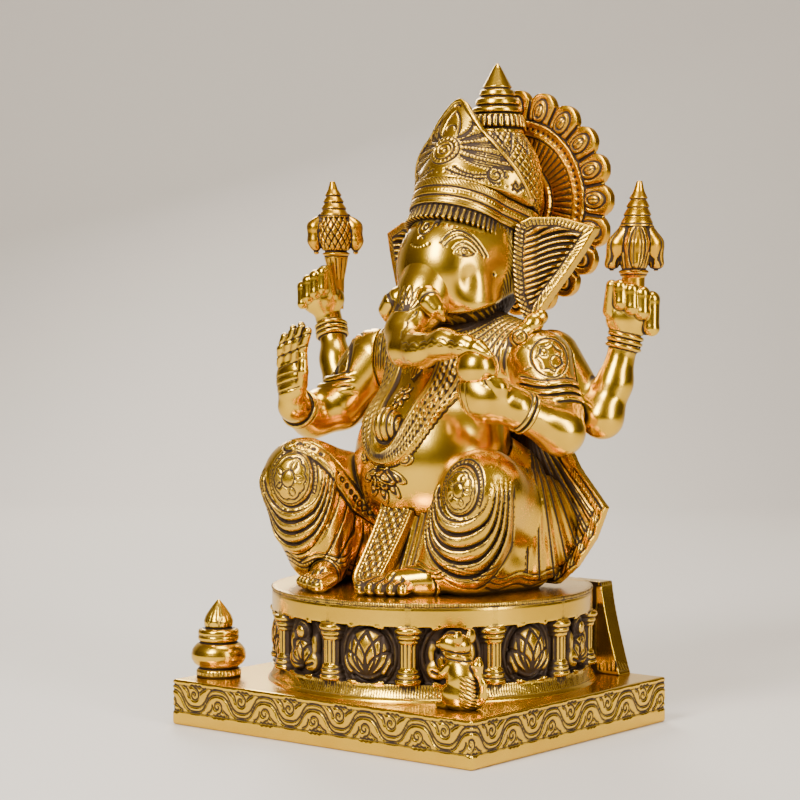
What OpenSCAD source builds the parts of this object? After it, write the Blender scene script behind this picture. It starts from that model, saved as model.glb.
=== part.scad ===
// Seated four-armed Ganesha idol in brass: hollow castings brazed at the waist, neck, shoulders and crown,
// standing on a round pedestal and a rectangular plinth. Threaded studs and nuts, reached from the open
// underside, hold the figure, the water pot and the mouse, and one more holds the halo behind the crown.
// The figure faces -Y. Its own left is +X. The origin is at the middle of the plinth's underside.

/* [Base] */
// Radius of the round pedestal at its top rim
pedestal_r = 71; // [56:1:90]
// Height of the pedestal above the plinth
pedestal_h = 41; // [30:1:52]
// Height of the plinth plate
plinth_h = 20; // [16:1:26]
// Ledge of the plinth beyond the pedestal on each side
side_ledge = 12; // [8:1:20]
// Ledge of the plinth in front of the pedestal
front_ledge = 9; // [6:1:16]
// Ledge of the plinth behind the pedestal's flat back
back_ledge = 1.5; // [1:0.5:6]
// Wall of the plinth and pedestal castings
base_wall = 4; // [3:0.5:5.5]
// Columns around the pedestal
column_count = 9; // [7:2:11]
// Radius of a column's shaft
column_r = 3.4; // [2.5:0.1:4.2]

/* [Figure] */
// Height of the figure from its seat to the tip of its crown
figure_h = 234; // [195:1:281]
// Wall of the figure's hollow castings
figure_wall = 3.5; // [2.5:0.5:4.5]
// Radius of the sweet in the front left hand
sweet_r = 9; // [7:0.5:10.5]

/* [Halo] */
// Radius of the halo to the tips of its petals
halo_r = 52; // [43:1:60]
// Thickness of the halo plate
halo_t = 3.2; // [2.5:0.1:4]
// Petals around the halo
petal_count = 20; // [14:1:24]

/* [Loose castings] */
// Height of the water pot
pot_h = 34; // [28:1:41]
// Height of the mouse
mouse_h = 33; // [27:1:38]

/* [Fasteners] */
// Radius of the studs that hold the figure
seat_stud_r = 3; // [2.5:0.1:3.6]
// Radius of the studs that hold the pot, the mouse and the halo
small_stud_r = 2; // [1.6:0.1:2.4]
// Clearance round every stud in its hole
stud_clearance = 0.3; // [0.2:0.05:0.5]
// Thickness of every washer
washer_t = 1; // [0.8:0.1:1.5]

/* [Hidden] */

BRASS = "goldenrod";
DARK_BRASS = "darkgoldenrod";
STEEL = "silver";

// The base
pedestal_back = pedestal_r * 61 / 71;             // from the pedestal's centre to its flat back
plinth_w = 2 * (pedestal_r + side_ledge);
plinth_d = front_ledge + pedestal_r + pedestal_back + back_ledge;
pedestal_y = -plinth_d / 2 + front_ledge + pedestal_r;
seat_z = plinth_h + pedestal_h;
figure_y = pedestal_y - 9;                        // middle of the figure's seat
rim_h = 14;                                       // polished band under the pedestal's top
flute_h = 7;                                      // fluted ring at the pedestal's foot
frieze_depth = 4;                                 // how far the frieze lies behind the rim
frieze_low = plinth_h + flute_h;
frieze_high = seat_z - rim_h;
frieze_h = frieze_high - frieze_low;
frieze_r = pedestal_r - frieze_depth;
rib_w = 8;                                        // rib across the plinth's underside
post_w = 7;                                       // corner posts at the flat back
post_lean = 9;                                    // how far a post's foot stands out
column_step = 30;                                 // degrees between columns

// The figure is drawn at its nominal height and scaled as a whole
NOMINAL_H = 234;
fig = figure_h / NOMINAL_H;
wall = figure_wall / fig;

// Joints and masses of the figure, above the middle of its seat
HIP = [0, 30, 22];
BELLY = [0, 10, 55];
CHEST = [0, 26, 90];
SKULL = [0, 36, 143];
MUZZLE = [0, 14, 136];
KNEE_R = [-48, -22, 46];
KNEE_L = [44, -12, 44];
ANKLE_R = [-33, -23, 8];
ANKLE_L = [24, -22, 8];
TOES_R = [-21, -42, 3.4];
TOES_L = [12, -42, 3.4];
CROWN_BASE = [0, 38, 156];
CROWN_LEAN = -22;                                 // degrees that the crown leans back
CROWN_BAND_H = 13;
FINIAL = [0, 57, 201];
HALO = [0, 73, 171];

// Points of the trunk's centre line, each with its radius
TRUNK = [[[0, 12, 138], 14], [[0, 1, 124], 11.5], [[0, -9, 112], 9.5], [[5, -15, 105], 8.5],
         [[16, -19, 104], 7.5], [[30, -21, 107], 6.5], [[42, -22, 106], 5], [[52, -22, 103.5], 3]];
// Points of the arms, from the shoulder to the hand
ARM_LF = [[[46, 26, 98], 15], [[62, 16, 76], 11], [[70, 8, 70], 9.5], [[60, -10, 80], 8], [[50, -18, 84], 11]];
ARM_RF = [[[-46, 26, 98], 15], [[-58, 14, 78], 11], [[-66, 4, 73], 9.5], [[-63, -12, 78], 7.5]];
ARM_LR = [[[44, 38, 100], 13], [[62, 38, 80], 10], [[73, 35, 75], 8.5], [[76, 40, 90], 7.5],
          [[79, 43, 110], 6.5], [[83, 44, 126], 10]];
ARM_RR = [[[-44, 38, 100], 13], [[-60, 38, 80], 10], [[-73, 34, 76], 9], [[-82, 39, 98], 7.5],
          [[-88, 42, 115], 7], [[-93, 42, 128], 9]];
GRIP_L = [81.5, 45, 136];
GRIP_R = [-86, 44, 136];

SEAT_STUDS = [[-20, 36], [20, 36], [0, 18]];
seat_stud_len = 16;
figure_floor = 5;                                 // solid floor of the hip casting over the studs
POT_XY = [-plinth_w / 2 + 9.5, -plinth_d / 2 + 20];
MOUSE_XY = [plinth_w / 2 - 21, -plinth_d / 2 + 20];
small_stud_len = base_wall + 8;
small_nut_af = 3.5 * small_stud_r;
seat_nut_af = 3.3 * seat_stud_r;

FINE_FN = 64;                                     // facets of a turned part
COARSE_FN = 24;                                   // facets of a small or hidden round

// Facets of a freely shaped ball, by its radius
function facets(r) = r < 5 ? 12 : r < 12 ? 16 : 22;

// ---- Shapes that repeat ----

// Puts a shape drawn in figure units on the pedestal
module on_seat() translate([0, figure_y, seat_z]) scale(fig) children();

// Merges freely shaped children into one skin and keeps their size
module casting() resize([0, 0, 0]) union() children();

module ball(p, r) translate(p) sphere(r, $fn = facets(r));

module egg(p, r) translate(p) scale(r) sphere(1, $fn = facets(max(r)));

// A run of tapering links between [point, radius] pairs, made smaller all round by inset
module limb(run, inset = 0)
    for (i = [0:len(run) - 2])
        hull() {
            ball(run[i][0], run[i][1] - inset);
            ball(run[i + 1][0], run[i + 1][1] - inset);
        }

module mirrored(side) scale([side, 1, 1]) children();

// A stud with its foot at z = 0
module stud(r, length) cylinder(r = r, h = length, $fn = FINE_FN);

module washer(r_in, r_out, t)
    difference() {
        cylinder(r = r_out, h = t, $fn = FINE_FN);
        translate([0, 0, -1]) cylinder(r = r_in, h = t + 2, $fn = FINE_FN);
    }

// A hexagon nut across the flats af, tight on its stud
module nut(r_stud, af, t)
    difference() {
        cylinder(r = af / sqrt(3), h = t, $fn = 6);
        translate([0, 0, -1]) cylinder(r = r_stud, h = t + 2, $fn = FINE_FN);
    }

// ---- Plinth and pedestal ----

module plinth_plate()
    color(BRASS)
    difference() {
        translate([-plinth_w / 2, -plinth_d / 2, 0]) cube([plinth_w, plinth_d, plinth_h]);
        // hollow underneath, in two halves with a rib between them
        for (side = [-1, 1])
            translate([-plinth_w / 2 + base_wall, side > 0 ? rib_w / 2 : -plinth_d / 2 + base_wall, -1])
                cube([plinth_w - 2 * base_wall, plinth_d / 2 - base_wall - rib_w / 2, plinth_h - base_wall + 1]);
        // opening up into the hollow pedestal, to reach the nuts
        translate([0, pedestal_y, plinth_h - base_wall - 0.5])
            cylinder(r = pedestal_back - 2 * base_wall, h = base_wall + 1, $fn = FINE_FN);
        for (p = [POT_XY, MOUSE_XY])
            translate([p[0], p[1], 0])
                cylinder(r = small_stud_r + stud_clearance, h = plinth_h + 1, $fn = FINE_FN);
    }

// The pedestal's round outline, cut off flat at the back, with its radius made smaller by inset
module pedestal_outline(r, back)
    intersection() {
        circle(r, $fn = FINE_FN);
        translate([-2 * r, -2 * r]) square([4 * r, 2 * r + back]);
    }

module pedestal_ring(r, low, high, back = pedestal_back)
    translate([0, pedestal_y, low]) linear_extrude(high - low) pedestal_outline(r, back);

// One column of the frieze with its base, shaft and capital, at an angle from the front
module column(angle)
    translate([0, pedestal_y, frieze_low]) rotate([0, 0, angle]) translate([0, -frieze_r, 0]) {
        cylinder(r = column_r + 0.8, h = frieze_h * 0.12, $fn = FINE_FN);
        translate([0, 0, frieze_h * 0.12]) cylinder(r = column_r + 0.2, h = frieze_h * 0.12, $fn = FINE_FN);
        translate([0, 0, frieze_h * 0.24]) cylinder(r = column_r - 0.6, h = frieze_h * 0.54, $fn = FINE_FN);
        translate([0, 0, frieze_h * 0.78]) cylinder(r = column_r + 0.5, h = frieze_h * 0.22, $fn = FINE_FN);
    }

// The battered block that closes the pedestal's back, with a post at each corner
module back_block() {
    post_x = sqrt(pedestal_r * pedestal_r - (pedestal_back - post_w) * (pedestal_back - post_w)) + post_w;
    for (side = [-1, 1])
        translate([0, pedestal_y + pedestal_back, plinth_h]) rotate([90, 0, 0]) linear_extrude(post_w + 3)
            polygon([[side * (post_x - 2 * post_w), 0], [side * (post_x + post_lean), 0],
                     [side * post_x, pedestal_h], [side * (post_x - 2 * post_w), pedestal_h]]);
}

module pedestal_drum()
    color(BRASS)
    difference() {
        union() {
            pedestal_ring(pedestal_r + 1, plinth_h, plinth_h + flute_h);
            pedestal_ring(frieze_r, frieze_low, frieze_high);
            pedestal_ring(pedestal_r, frieze_high, seat_z);
            for (i = [0:column_count - 1]) column((i - (column_count - 1) / 2) * column_step);
            back_block();
        }
        pedestal_ring(frieze_r - base_wall, plinth_h - 1, seat_z - base_wall, pedestal_back - base_wall);
        for (p = SEAT_STUDS)
            translate([p[0] * fig, figure_y + p[1] * fig, plinth_h])
                cylinder(r = seat_stud_r + stud_clearance, h = pedestal_h + 1, $fn = FINE_FN);
    }

// Raised lotus buds between the columns, each a shallow dome on the frieze wall
module frieze_lotuses() {
    bud_r = frieze_h / 2 - 1;
    color(DARK_BRASS)
    for (i = [0:column_count - 2])
        translate([0, pedestal_y, frieze_low + frieze_h / 2])
            rotate([0, 0, (i - (column_count - 2) / 2) * column_step]) translate([0, -frieze_r, 0])
                rotate([90, 0, 0]) cylinder(r1 = bud_r, r2 = bud_r * 0.7, h = frieze_depth - 0.5, $fn = FINE_FN);
}

module at_seat_studs()
    for (p = SEAT_STUDS)
        translate([p[0] * fig, figure_y + p[1] * fig, seat_z]) children();

module seat_studs()
    color(STEEL) at_seat_studs() translate([0, 0, -seat_stud_len]) stud(seat_stud_r, seat_stud_len);

module seat_washers()
    color(STEEL) at_seat_studs() translate([0, 0, -base_wall - washer_t])
        washer(seat_stud_r + stud_clearance, 2.2 * seat_stud_r, washer_t);

module seat_nuts()
    color(STEEL) at_seat_studs() translate([0, 0, -base_wall - washer_t - 1.7 * seat_stud_r])
        nut(seat_stud_r, seat_nut_af, 1.7 * seat_stud_r);

// ---- Seated body ----

module hip_mass(inset = 0) {
    egg(HIP, [50 - inset, 34 - inset, 28 - inset]);
    egg([0, 25, 42], [47 - inset, 30 - inset, 29 - inset]);
}

module torso_mass(inset = 0) {
    egg(BELLY, [37 - inset, 32 - inset, 37 - inset]);
    egg(CHEST, [36 - inset, 27 - inset, 27 - inset]);
    limb([[[-34, 30, 100], 17], [[0, 34, 106], 21], [[34, 30, 100], 17]], inset);
}

module below_seat() translate([-200, -200, -100]) cube([400, 400, 100]);

module above_floor() translate([-200, -200, figure_floor / fig]) cube([400, 400, 400]);

module hip_drape()
    color(BRASS) on_seat() casting()
        difference() {
            hip_mass();
            torso_mass();
            below_seat();
            intersection() { hip_mass(wall); above_floor(); }
        }

module torso()
    color(BRASS) on_seat() casting()
        difference() {
            torso_mass();
            torso_mass(wall);
            // open at the waist, into the hollow of the hips
            translate([0, 16, 0]) cylinder(r = 18, h = 40, $fn = COARSE_FN);
        }

// The draped leg: thigh, knee and shin in one casting
module leg_mass(side, inset = 0) {
    knee = side > 0 ? KNEE_L : KNEE_R;
    ankle = side > 0 ? ANKLE_L : ANKLE_R;
    limb([[[side * 34, 34, 26], 24], [knee, 17], [(knee + ankle) / 2 + [side * 3, 2, -2], 16], [ankle, 9]], inset);
    limb([[[side * 40, 22, 11], 13], [(knee + ankle) / 2 + [side * 3, 4, -15], 13]], inset);
}

module leg(side)
    color(BRASS) on_seat() casting()
        difference() {
            leg_mass(side);
            hip_mass();
            torso_mass();
            below_seat();
            intersection() { leg_mass(side, wall); above_floor(); }
        }

module right_leg() leg(-1);
module left_leg() leg(1);

// A bare foot with five toes
module foot(side) {
    ankle = side > 0 ? ANKLE_L : ANKLE_R;
    toes = side > 0 ? TOES_L : TOES_R;
    across = [side > 0 ? 4.3 : -4.3, side > 0 ? 1.6 : 2.2, 0];
    color(BRASS) on_seat() casting()
        difference() {
            union() {
                limb([[ankle + [0, -2, -3], 7], [toes + [0, 7, 1], 8]]);
                for (i = [-2:2]) limb([[toes + [0, 8, 0] + i * across, 3.6], [toes + i * across, 3.2]]);
            }
            leg_mass(side);
            below_seat();
        }
}

module right_foot() foot(-1);
module left_foot() foot(1);

// The pleated end of the waist cloth, hanging between the shins
module front_sash()
    color(DARK_BRASS) on_seat() casting()
        difference() {
            hull() {
                ball([-6, -18, 34], 5);
                ball([10, -18, 34], 5);
                ball([-14, -30, 6], 4);
                ball([0, -32, 6], 4);
            }
            torso_mass();
            hip_mass();
            for (side = [-1, 1]) leg_mass(side);
            foot_space();
            below_seat();
        }

// Room for both feet, used where cloth meets them
module foot_space()
    for (side = [-1, 1]) {
        ankle = side > 0 ? ANKLE_L : ANKLE_R;
        toes = side > 0 ? TOES_L : TOES_R;
        limb([[ankle + [0, -2, -3], 9], [toes + [0, 2, 0], 12]]);
    }

// A fan of cloth spread behind each hip
module sash_tail(side)
    color(BRASS) on_seat() casting()
        mirrored(side)
            difference() {
                hull() {
                    ball([45, 44, 60], 4);
                    ball([69, 43, 33], 2.5);
                    ball([58, 40, 12], 2.5);
                    ball([46, 34, 4], 4);
                }
                hip_mass();
                torso_mass();
                leg_mass(1);
                leg_mass(-1);
                below_seat();
            }

module left_sash_tail() sash_tail(1);
module right_sash_tail() sash_tail(-1);

// Strings of beads lying on the chest and belly, two deep loops
module necklaces()
    color(DARK_BRASS) on_seat() casting()
        difference() {
            intersection() {
                torso_mass(-2.2);
                for (reach = [[22, 46], [15, 62]])
                    translate([0, -14, 104]) rotate([90, 0, 0]) scale([reach[0], reach[1], 1])
                        difference() {
                            cylinder(r = 1, h = 60, center = true, $fn = COARSE_FN);
                            cylinder(r = 0.82, h = 62, center = true, $fn = COARSE_FN);
                        }
                translate([-60, -60, 0]) cube([120, 72, 100]);
            }
            torso_mass();
            trunk_mass();
            arm_mass(ARM_LF);
        }

module belly_pendant()
    color(DARK_BRASS) on_seat() casting()
        difference() {
            intersection() {
                torso_mass(-3.2);
                translate([0, -40, 47]) rotate([-90, 0, 0]) cylinder(r1 = 13, r2 = 13, h = 50, $fn = COARSE_FN);
            }
            torso_mass();
        }

// ---- Head ----

module skull_mass(inset = 0) {
    egg(SKULL, [27 - inset, 31 - inset, 31 - inset]);
    egg(MUZZLE, [19 - inset, 16 - inset, 24 - inset]);
    for (side = [-1, 1]) egg([side * 14, 22, 124], [13 - inset, 15 - inset, 13 - inset]);
}

module trunk_mass(inset = 0) limb(TRUNK, inset);

module head()
    color(BRASS) on_seat() casting()
        difference() {
            skull_mass();
            skull_mass(wall);
            torso_mass();
            crown_mass();
        }

module trunk()
    color(BRASS) on_seat() casting()
        difference() {
            trunk_mass();
            skull_mass();
            torso_mass();
            arm_mass(ARM_LF);
            ball([47, -20, 97], sweet_r);
        }

module tusk(side)
    color(BRASS) on_seat() casting()
        difference() {
            mirrored(side) limb([[[10, 6, 125], 4.5], [[15, -4, 121], 4], [[17, -8, 115], 1.6]]);
            skull_mass();
            trunk_mass();
        }

module right_tusk() tusk(-1);
module left_tusk() tusk(1);

// A wide ear, dished at the front, with its tip out and back
module ear(side)
    color(BRASS) on_seat() casting()
        mirrored(side)
            difference() {
                hull() {
                    ball([28, 38, 160], 3);
                    ball([57, 51, 156], 2.5);
                    ball([46, 48, 136], 2.5);
                    ball([36, 36, 119], 3);
                    ball([29, 32, 128], 3);
                }
                egg([44, 30, 144], [13, 13, 13]);
                skull_mass();
                torso_mass();
                crown_mass();
            }

module right_ear() ear(-1);
module left_ear() ear(1);

// ---- Crown and halo ----

// The crown's own frame: its foot at CROWN_BASE, its axis leaning back
module in_crown() translate(CROWN_BASE) rotate([CROWN_LEAN, 0, 0]) children();

// A layer of the crown, narrower at the brow than at the back
module crown_layer(low, high, grow)
    hull() {
        translate([0, -11, low]) cylinder(r = 23 + grow, h = high - low, $fn = COARSE_FN);
        translate([0, 4, low]) cylinder(r = 28 + grow, h = high - low, $fn = COARSE_FN);
    }

module crown_band_mass()
    in_crown() {
        crown_layer(0, CROWN_BAND_H, 0);
        crown_layer(-8, 1, -2);
    }

// The lattice dome, down to the middle of the band
module crown_dome_mass(inset = 0) {
    egg([0, 44, 176], [30 - inset, 26 - inset, 34 - inset]);
    in_crown() crown_layer(8 - 3 * inset, 18, -1.5 - inset);
}

// The pointed plate that stands up at the front of the crown
module crown_plate_mass()
    in_crown() intersection() {
        difference() {
            hull() {
                translate([0, 0, 9]) crown_layer(0, 1, 0);
                translate([0, 0, 53]) crown_layer(0, 1, -4);
            }
            hull() {
                translate([0, 0, 8]) crown_layer(0, 1, -5);
                translate([0, 0, 54]) crown_layer(0, 1, -9);
            }
        }
        rotate([90, 0, 0]) linear_extrude(50)
            polygon([[-33, 9], [33, 9], [31, 17], [27, 23], [22, 29], [14, 38], [7, 46], [0, 52],
                     [-7, 46], [-14, 38], [-22, 29], [-27, 23], [-31, 17]]);
    }

module crown_mass() {
    crown_band_mass();
    crown_dome_mass();
}

module crown_band()
    color(BRASS) on_seat() casting()
        difference() {
            crown_band_mass();
            in_crown() crown_layer(-20, 30, -2 * wall);
        }

// Dome and front plate, cast together and standing on the band
module crown_body()
    color(BRASS) on_seat() casting()
        difference() {
            union() {
                difference() {
                    crown_dome_mass();
                    crown_dome_mass(wall);
                    translate([-50, 0, FINIAL[2]]) cube([100, 100, 50]);
                }
                crown_plate_mass();
            }
            in_crown() crown_layer(-40, CROWN_BAND_H, 10);
        }

// Fluted collar, rings and point on top of the crown, turned as one piece
module crown_finial()
    color(BRASS) on_seat() translate(FINIAL)
        rotate_extrude($fn = FINE_FN)
            polygon([[0, 0], [11.8, 0], [12.8, 2.5], [12.4, 7.5], [10.8, 9.5], [11, 12], [9.2, 13.5], [9.4, 16],
                     [7.6, 17.5], [7.8, 19.5], [6.2, 21], [6.2, 23], [1.6, 32], [0, NOMINAL_H - FINIAL[2]]]);

halo_z = seat_z + HALO[2] * fig;
halo_y = figure_y + HALO[1] * fig;
halo_rim = 9;                                     // depth of the petal ring
petal_r = PI * (halo_r - halo_rim / 2) / petal_count;

module at_halo() translate([0, halo_y, halo_z]) rotate([-90, 0, 0]) children();

module halo_disc()
    color(DARK_BRASS) at_halo()
        difference() {
            union() {
                cylinder(r = halo_r - petal_r, h = halo_t, $fn = FINE_FN);
                for (i = [0:petal_count - 1])
                    rotate([0, 0, i * 360 / petal_count]) translate([halo_r - petal_r, 0, 0])
                        cylinder(r = petal_r, h = halo_t, $fn = FINE_FN);
            }
            translate([0, 0, -1]) cylinder(r = small_stud_r + stud_clearance, h = halo_t + 2, $fn = FINE_FN);
        }

// Boss and stud that stand out of the crown's back and carry the halo
module halo_stud()
    color(BRASS)
    difference() {
        at_halo() {
            translate([0, 0, -12]) cylinder(r = 5, h = 12, $fn = FINE_FN);
            stud(small_stud_r, halo_t + 4);
        }
        on_seat() casting() crown_dome_mass();
    }

module halo_nut()
    color(STEEL) at_halo() translate([0, 0, halo_t]) nut(small_stud_r, small_nut_af, 3);

// ---- Arms, emblems and the sweet ----

module arm_mass(run, inset = 0) limb(run, inset);

module arm(run)
    color(BRASS) on_seat() casting()
        difference() {
            arm_mass(run);
            torso_mass();
            hip_mass();
            leg_mass(1);
            leg_mass(-1);
            children();
        }

// The right front hand is raised, open and flat
module open_hand()
    hull() {
        egg([-61, -15, 84], [8, 5.5, 8]);
        egg([-58, -17, 98], [9, 4, 8]);
        egg([-55, -18, 112], [7, 2.5, 4.5]);
    }

module right_front_arm()
    color(BRASS) on_seat() casting()
        difference() {
            union() {
                arm_mass(ARM_RF);
                open_hand();
            }
            torso_mass();
            hip_mass();
            leg_mass(-1);
        }

module left_front_arm()
    arm(ARM_LF) ball([47, -20, 97], sweet_r);

module left_rear_arm()
    arm(ARM_LR) {
        arm_mass(ARM_LF);
        emblem_shaft(GRIP_L);
    }

module right_rear_arm()
    arm(ARM_RR) {
        arm_mass(ARM_RF);
        open_hand();
        emblem_shaft(GRIP_R);
    }

// Each emblem's shaft passes down into the fist
module emblem_shaft(grip) translate(grip - [0, 0, 12]) cylinder(r = 3, h = 14, $fn = COARSE_FN);

// A bud of leaves with a ringed point above it
module emblem(grip, bud_r, top)
    color(DARK_BRASS) on_seat() casting() {
        emblem_shaft(grip);
        difference() {
            union() {
                translate(grip - [0, 0, 2]) cylinder(r1 = 3.5, r2 = 7, h = 8, $fn = COARSE_FN);
                egg(grip + [0, 1, 15], [bud_r, bud_r * 0.8, 11]);
                translate(grip + [0, 2, 24]) cylinder(r1 = 7.5, r2 = 0.8, h = top - grip[2] - 24, $fn = COARSE_FN);
            }
            limb(ARM_LR);
            limb(ARM_RR);
        }
    }

module right_emblem() emblem(GRIP_R, 13, 183);
module left_emblem() emblem(GRIP_L, 12.5, 177);

module sweet() color(BRASS) on_seat() ball([47, -20, 97], sweet_r);

// ---- Water pot and mouse, each a solid casting on its own stud ----

module water_pot()
    color(BRASS) translate([POT_XY[0], POT_XY[1], plinth_h])
        rotate_extrude($fn = FINE_FN) scale([pot_h / 34, pot_h / 34])
            polygon([[0, 0], [9.5, 0], [10, 1.2], [9.7, 3.4], [8.7, 4], [10.6, 5.4], [12.1, 8], [12.2, 10.4],
                     [10.8, 13.6], [8.4, 15.6], [8.9, 16.4], [8.9, 20.4], [8, 21.4], [6.2, 22], [6.7, 23.6],
                     [5.8, 27], [3, 31.4], [0.8, 34], [0, 34]]);

module mouse() {
    m = mouse_h / 33;
    color(BRASS) translate([MOUSE_XY[0], MOUSE_XY[1], plinth_h]) scale(m) casting()
        difference() {
            union() {
                limb([[[0, 2, 5], 8], [[0, 0, 13], 7], [[-3, -1, 21], 5]]);
                limb([[[-2, 0, 25], 6], [[-9, -2, 26], 2.6]]);
                for (side = [-1, 1]) ball([0, 5 * side, 29.5], 3);
                limb([[[8, 3, 3], 2.6], [[11, 4, 10], 2], [[9.5, 4, 18], 2.2]]);
                limb([[[-5, -3, 3], 3.4], [[-9, -3, 2.6], 2.6]]);
            }
            translate([-50, -50, -50]) cube([100, 100, 50]);
        }
}

module small_stud(p) color(STEEL) translate([p[0], p[1], plinth_h - small_stud_len]) stud(small_stud_r, small_stud_len);

module small_nut(p)
    color(STEEL) translate([p[0], p[1], plinth_h - base_wall - 3]) nut(small_stud_r, small_nut_af, 3);

module pot_stud() small_stud(POT_XY);
module pot_nut() small_nut(POT_XY);
module mouse_stud() small_stud(MOUSE_XY);
module mouse_nut() small_nut(MOUSE_XY);

plinth_plate();
pedestal_drum();
frieze_lotuses();
seat_studs();
seat_washers();
seat_nuts();
hip_drape();
torso();
right_leg();
left_leg();
right_foot();
left_foot();
front_sash();
left_sash_tail();
right_sash_tail();
necklaces();
belly_pendant();
head();
trunk();
right_tusk();
left_tusk();
right_ear();
left_ear();
crown_band();
crown_body();
crown_finial();
halo_disc();
halo_stud();
halo_nut();
right_front_arm();
left_front_arm();
right_rear_arm();
left_rear_arm();
right_emblem();
left_emblem();
sweet();
water_pot();
pot_stud();
pot_nut();
mouse();
mouse_stud();
mouse_nut();
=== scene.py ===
"""Ganesha idol in polished brass.

Every casting is modelled as a signed distance field in millimetres and meshed with OpenVDB. It carries an
attribute that says how much patina its tooling holds, how deep in a recess each point lies and how
near other castings come. The material darkens all three: the grooves with patina, the recesses with patina
and painted shade, and the places where castings meet with painted shade.
"""
from concurrent.futures import ThreadPoolExecutor

import bpy
import numpy as np
import openvdb
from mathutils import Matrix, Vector

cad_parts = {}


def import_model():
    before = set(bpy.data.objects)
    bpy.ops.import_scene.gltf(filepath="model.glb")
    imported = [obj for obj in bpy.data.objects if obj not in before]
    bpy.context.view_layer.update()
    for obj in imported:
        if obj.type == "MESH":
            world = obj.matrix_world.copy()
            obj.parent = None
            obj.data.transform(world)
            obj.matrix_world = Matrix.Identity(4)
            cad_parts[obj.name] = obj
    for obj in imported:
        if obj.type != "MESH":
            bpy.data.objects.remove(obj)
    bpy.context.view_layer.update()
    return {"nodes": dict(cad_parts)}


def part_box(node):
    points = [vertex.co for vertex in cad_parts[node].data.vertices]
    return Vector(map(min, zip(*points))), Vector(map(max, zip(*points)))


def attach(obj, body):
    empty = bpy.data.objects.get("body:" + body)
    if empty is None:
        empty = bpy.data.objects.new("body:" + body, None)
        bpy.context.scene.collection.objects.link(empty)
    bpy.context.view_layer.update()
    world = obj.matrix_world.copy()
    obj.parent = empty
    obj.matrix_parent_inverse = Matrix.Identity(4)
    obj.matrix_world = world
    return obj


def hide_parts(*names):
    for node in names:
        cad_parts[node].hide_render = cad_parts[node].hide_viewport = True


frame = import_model()
MM = 0.001
PI = np.pi
FAR = 9.0                               # stands for "not near" in a distance, in mm
HAIR = 0.1                              # gap between castings that meet, in mm
INK_GAIN = 1.35                         # how strongly a groove holds patina, before it is capped at 1

# ---- Where things are, from the frame ----


def box_mm(node):
    low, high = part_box(node)
    return np.array(low) / MM, np.array(high) / MM


PLATE = box_mm("plinth_plate")
PLATE_Z = PLATE[1][2]
DRUM = box_mm("pedestal_drum")
SEAT_Z = DRUM[1][2]
NOMINAL_H = 234.0                       # height of the figure that the sizes below belong to
SCALE = (box_mm("crown_finial")[1][2] - SEAT_Z) / NOMINAL_H
SWEET_AT = np.array([47.0, -20.0, 97.0])
SEAT = np.array([0.0, box_mm("sweet")[0].mean(), SEAT_Z])
SEAT[1] = (box_mm("sweet")[0][1] + box_mm("sweet")[1][1]) / 2 - SWEET_AT[1] * SCALE

# The same joints and masses as the CAD part, above the middle of the seat, but for the longer right toes
KNEE = {-1: (-48, -22, 46), 1: (44, -12, 44)}
ANKLE = {-1: (-33, -23, 8), 1: (24, -22, 8)}
TOES = {-1: (-25, -46, 3.4), 1: (12, -42, 3.4)}
CROWN_BASE = np.array([0.0, 38.0, 156.0])
CROWN_LEAN = np.radians(22)
BAND_H = 13.0
FINIAL = np.array([0.0, 57.0, 201.0])
HALO = np.array([0.0, 73.0, 171.0])
HALO_R = 52.0
TRUNK = [((0, 12, 138), 14), ((0, 1, 124), 11.5), ((0, -9, 112), 9.5), ((5, -15, 105), 8.5),
         ((16, -19, 104), 7.5), ((30, -21, 107), 6.5), ((42, -22, 106), 5), ((52, -22, 103.5), 3)]
ARM_LF = [((46, 26, 98), 15), ((62, 16, 76), 11), ((70, 8, 70), 9.5), ((60, -10, 80), 7.5)]
ARM_RF = [((-46, 26, 98), 15), ((-58, 14, 78), 11), ((-66, 4, 73), 9.5), ((-63, -12, 78), 7)]
ARM_LR = [((44, 38, 100), 13), ((62, 38, 80), 10), ((73, 35, 75), 8.5), ((76, 40, 90), 7.3),
          ((79, 43, 108), 5.6), ((80, 43, 116), 6)]
ARM_RR = [((-44, 38, 100), 13), ((-60, 38, 80), 10), ((-73, 34, 76), 9), ((-82, 39, 98), 7),
          ((-87, 42, 112), 5.6), ((-89, 42, 118), 6)]
GRIP_L = np.array([81.5, 45.0, 136.0])
GRIP_R = np.array([-86.0, 44.0, 136.0])

# ---- Distance field tools, all in millimetres ----


def span(p, axis=-1):
    return np.sqrt((p * p).sum(axis))


def ball(p, centre, radius):
    return span(p - np.asarray(centre, np.float32)) - radius


def egg(p, centre, radii, turn=None):
    q = p - np.asarray(centre, np.float32)
    if turn is not None:
        q = q @ np.asarray(turn, np.float32)
    radii = np.asarray(radii, np.float32)
    k0 = span(q / radii)
    k1 = span(q / (radii * radii)) + 1e-9
    return k0 * (k0 - 1) / k1


def unit(value):
    return np.clip(value, 0, 1)


def union(a, b, blend=0.0):
    if not blend:
        return np.minimum(a, b)
    h = unit(0.5 + 0.5 * (b - a) / blend)
    return b * (1 - h) + a * h - blend * h * (1 - h)


def cut(a, b, blend=0.0):
    return -union(-a, b, blend)


def link(p, a, b, ra, rb):
    """Distance to a tapering rod, and how far along it each point lies, from 0 to 1."""
    a, b = np.asarray(a, np.float32), np.asarray(b, np.float32)
    axis = b - a
    t = unit((p - a) @ axis / (axis @ axis))
    return span(p - a - t[:, None] * axis) - (ra + (rb - ra) * t), t


def limb(p, run, blend=3.0):
    d = None
    for (a, ra), (b, rb) in zip(run, run[1:]):
        piece = link(p, a, b, ra, rb)[0]
        d = piece if d is None else union(d, piece, blend)
    return d


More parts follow.
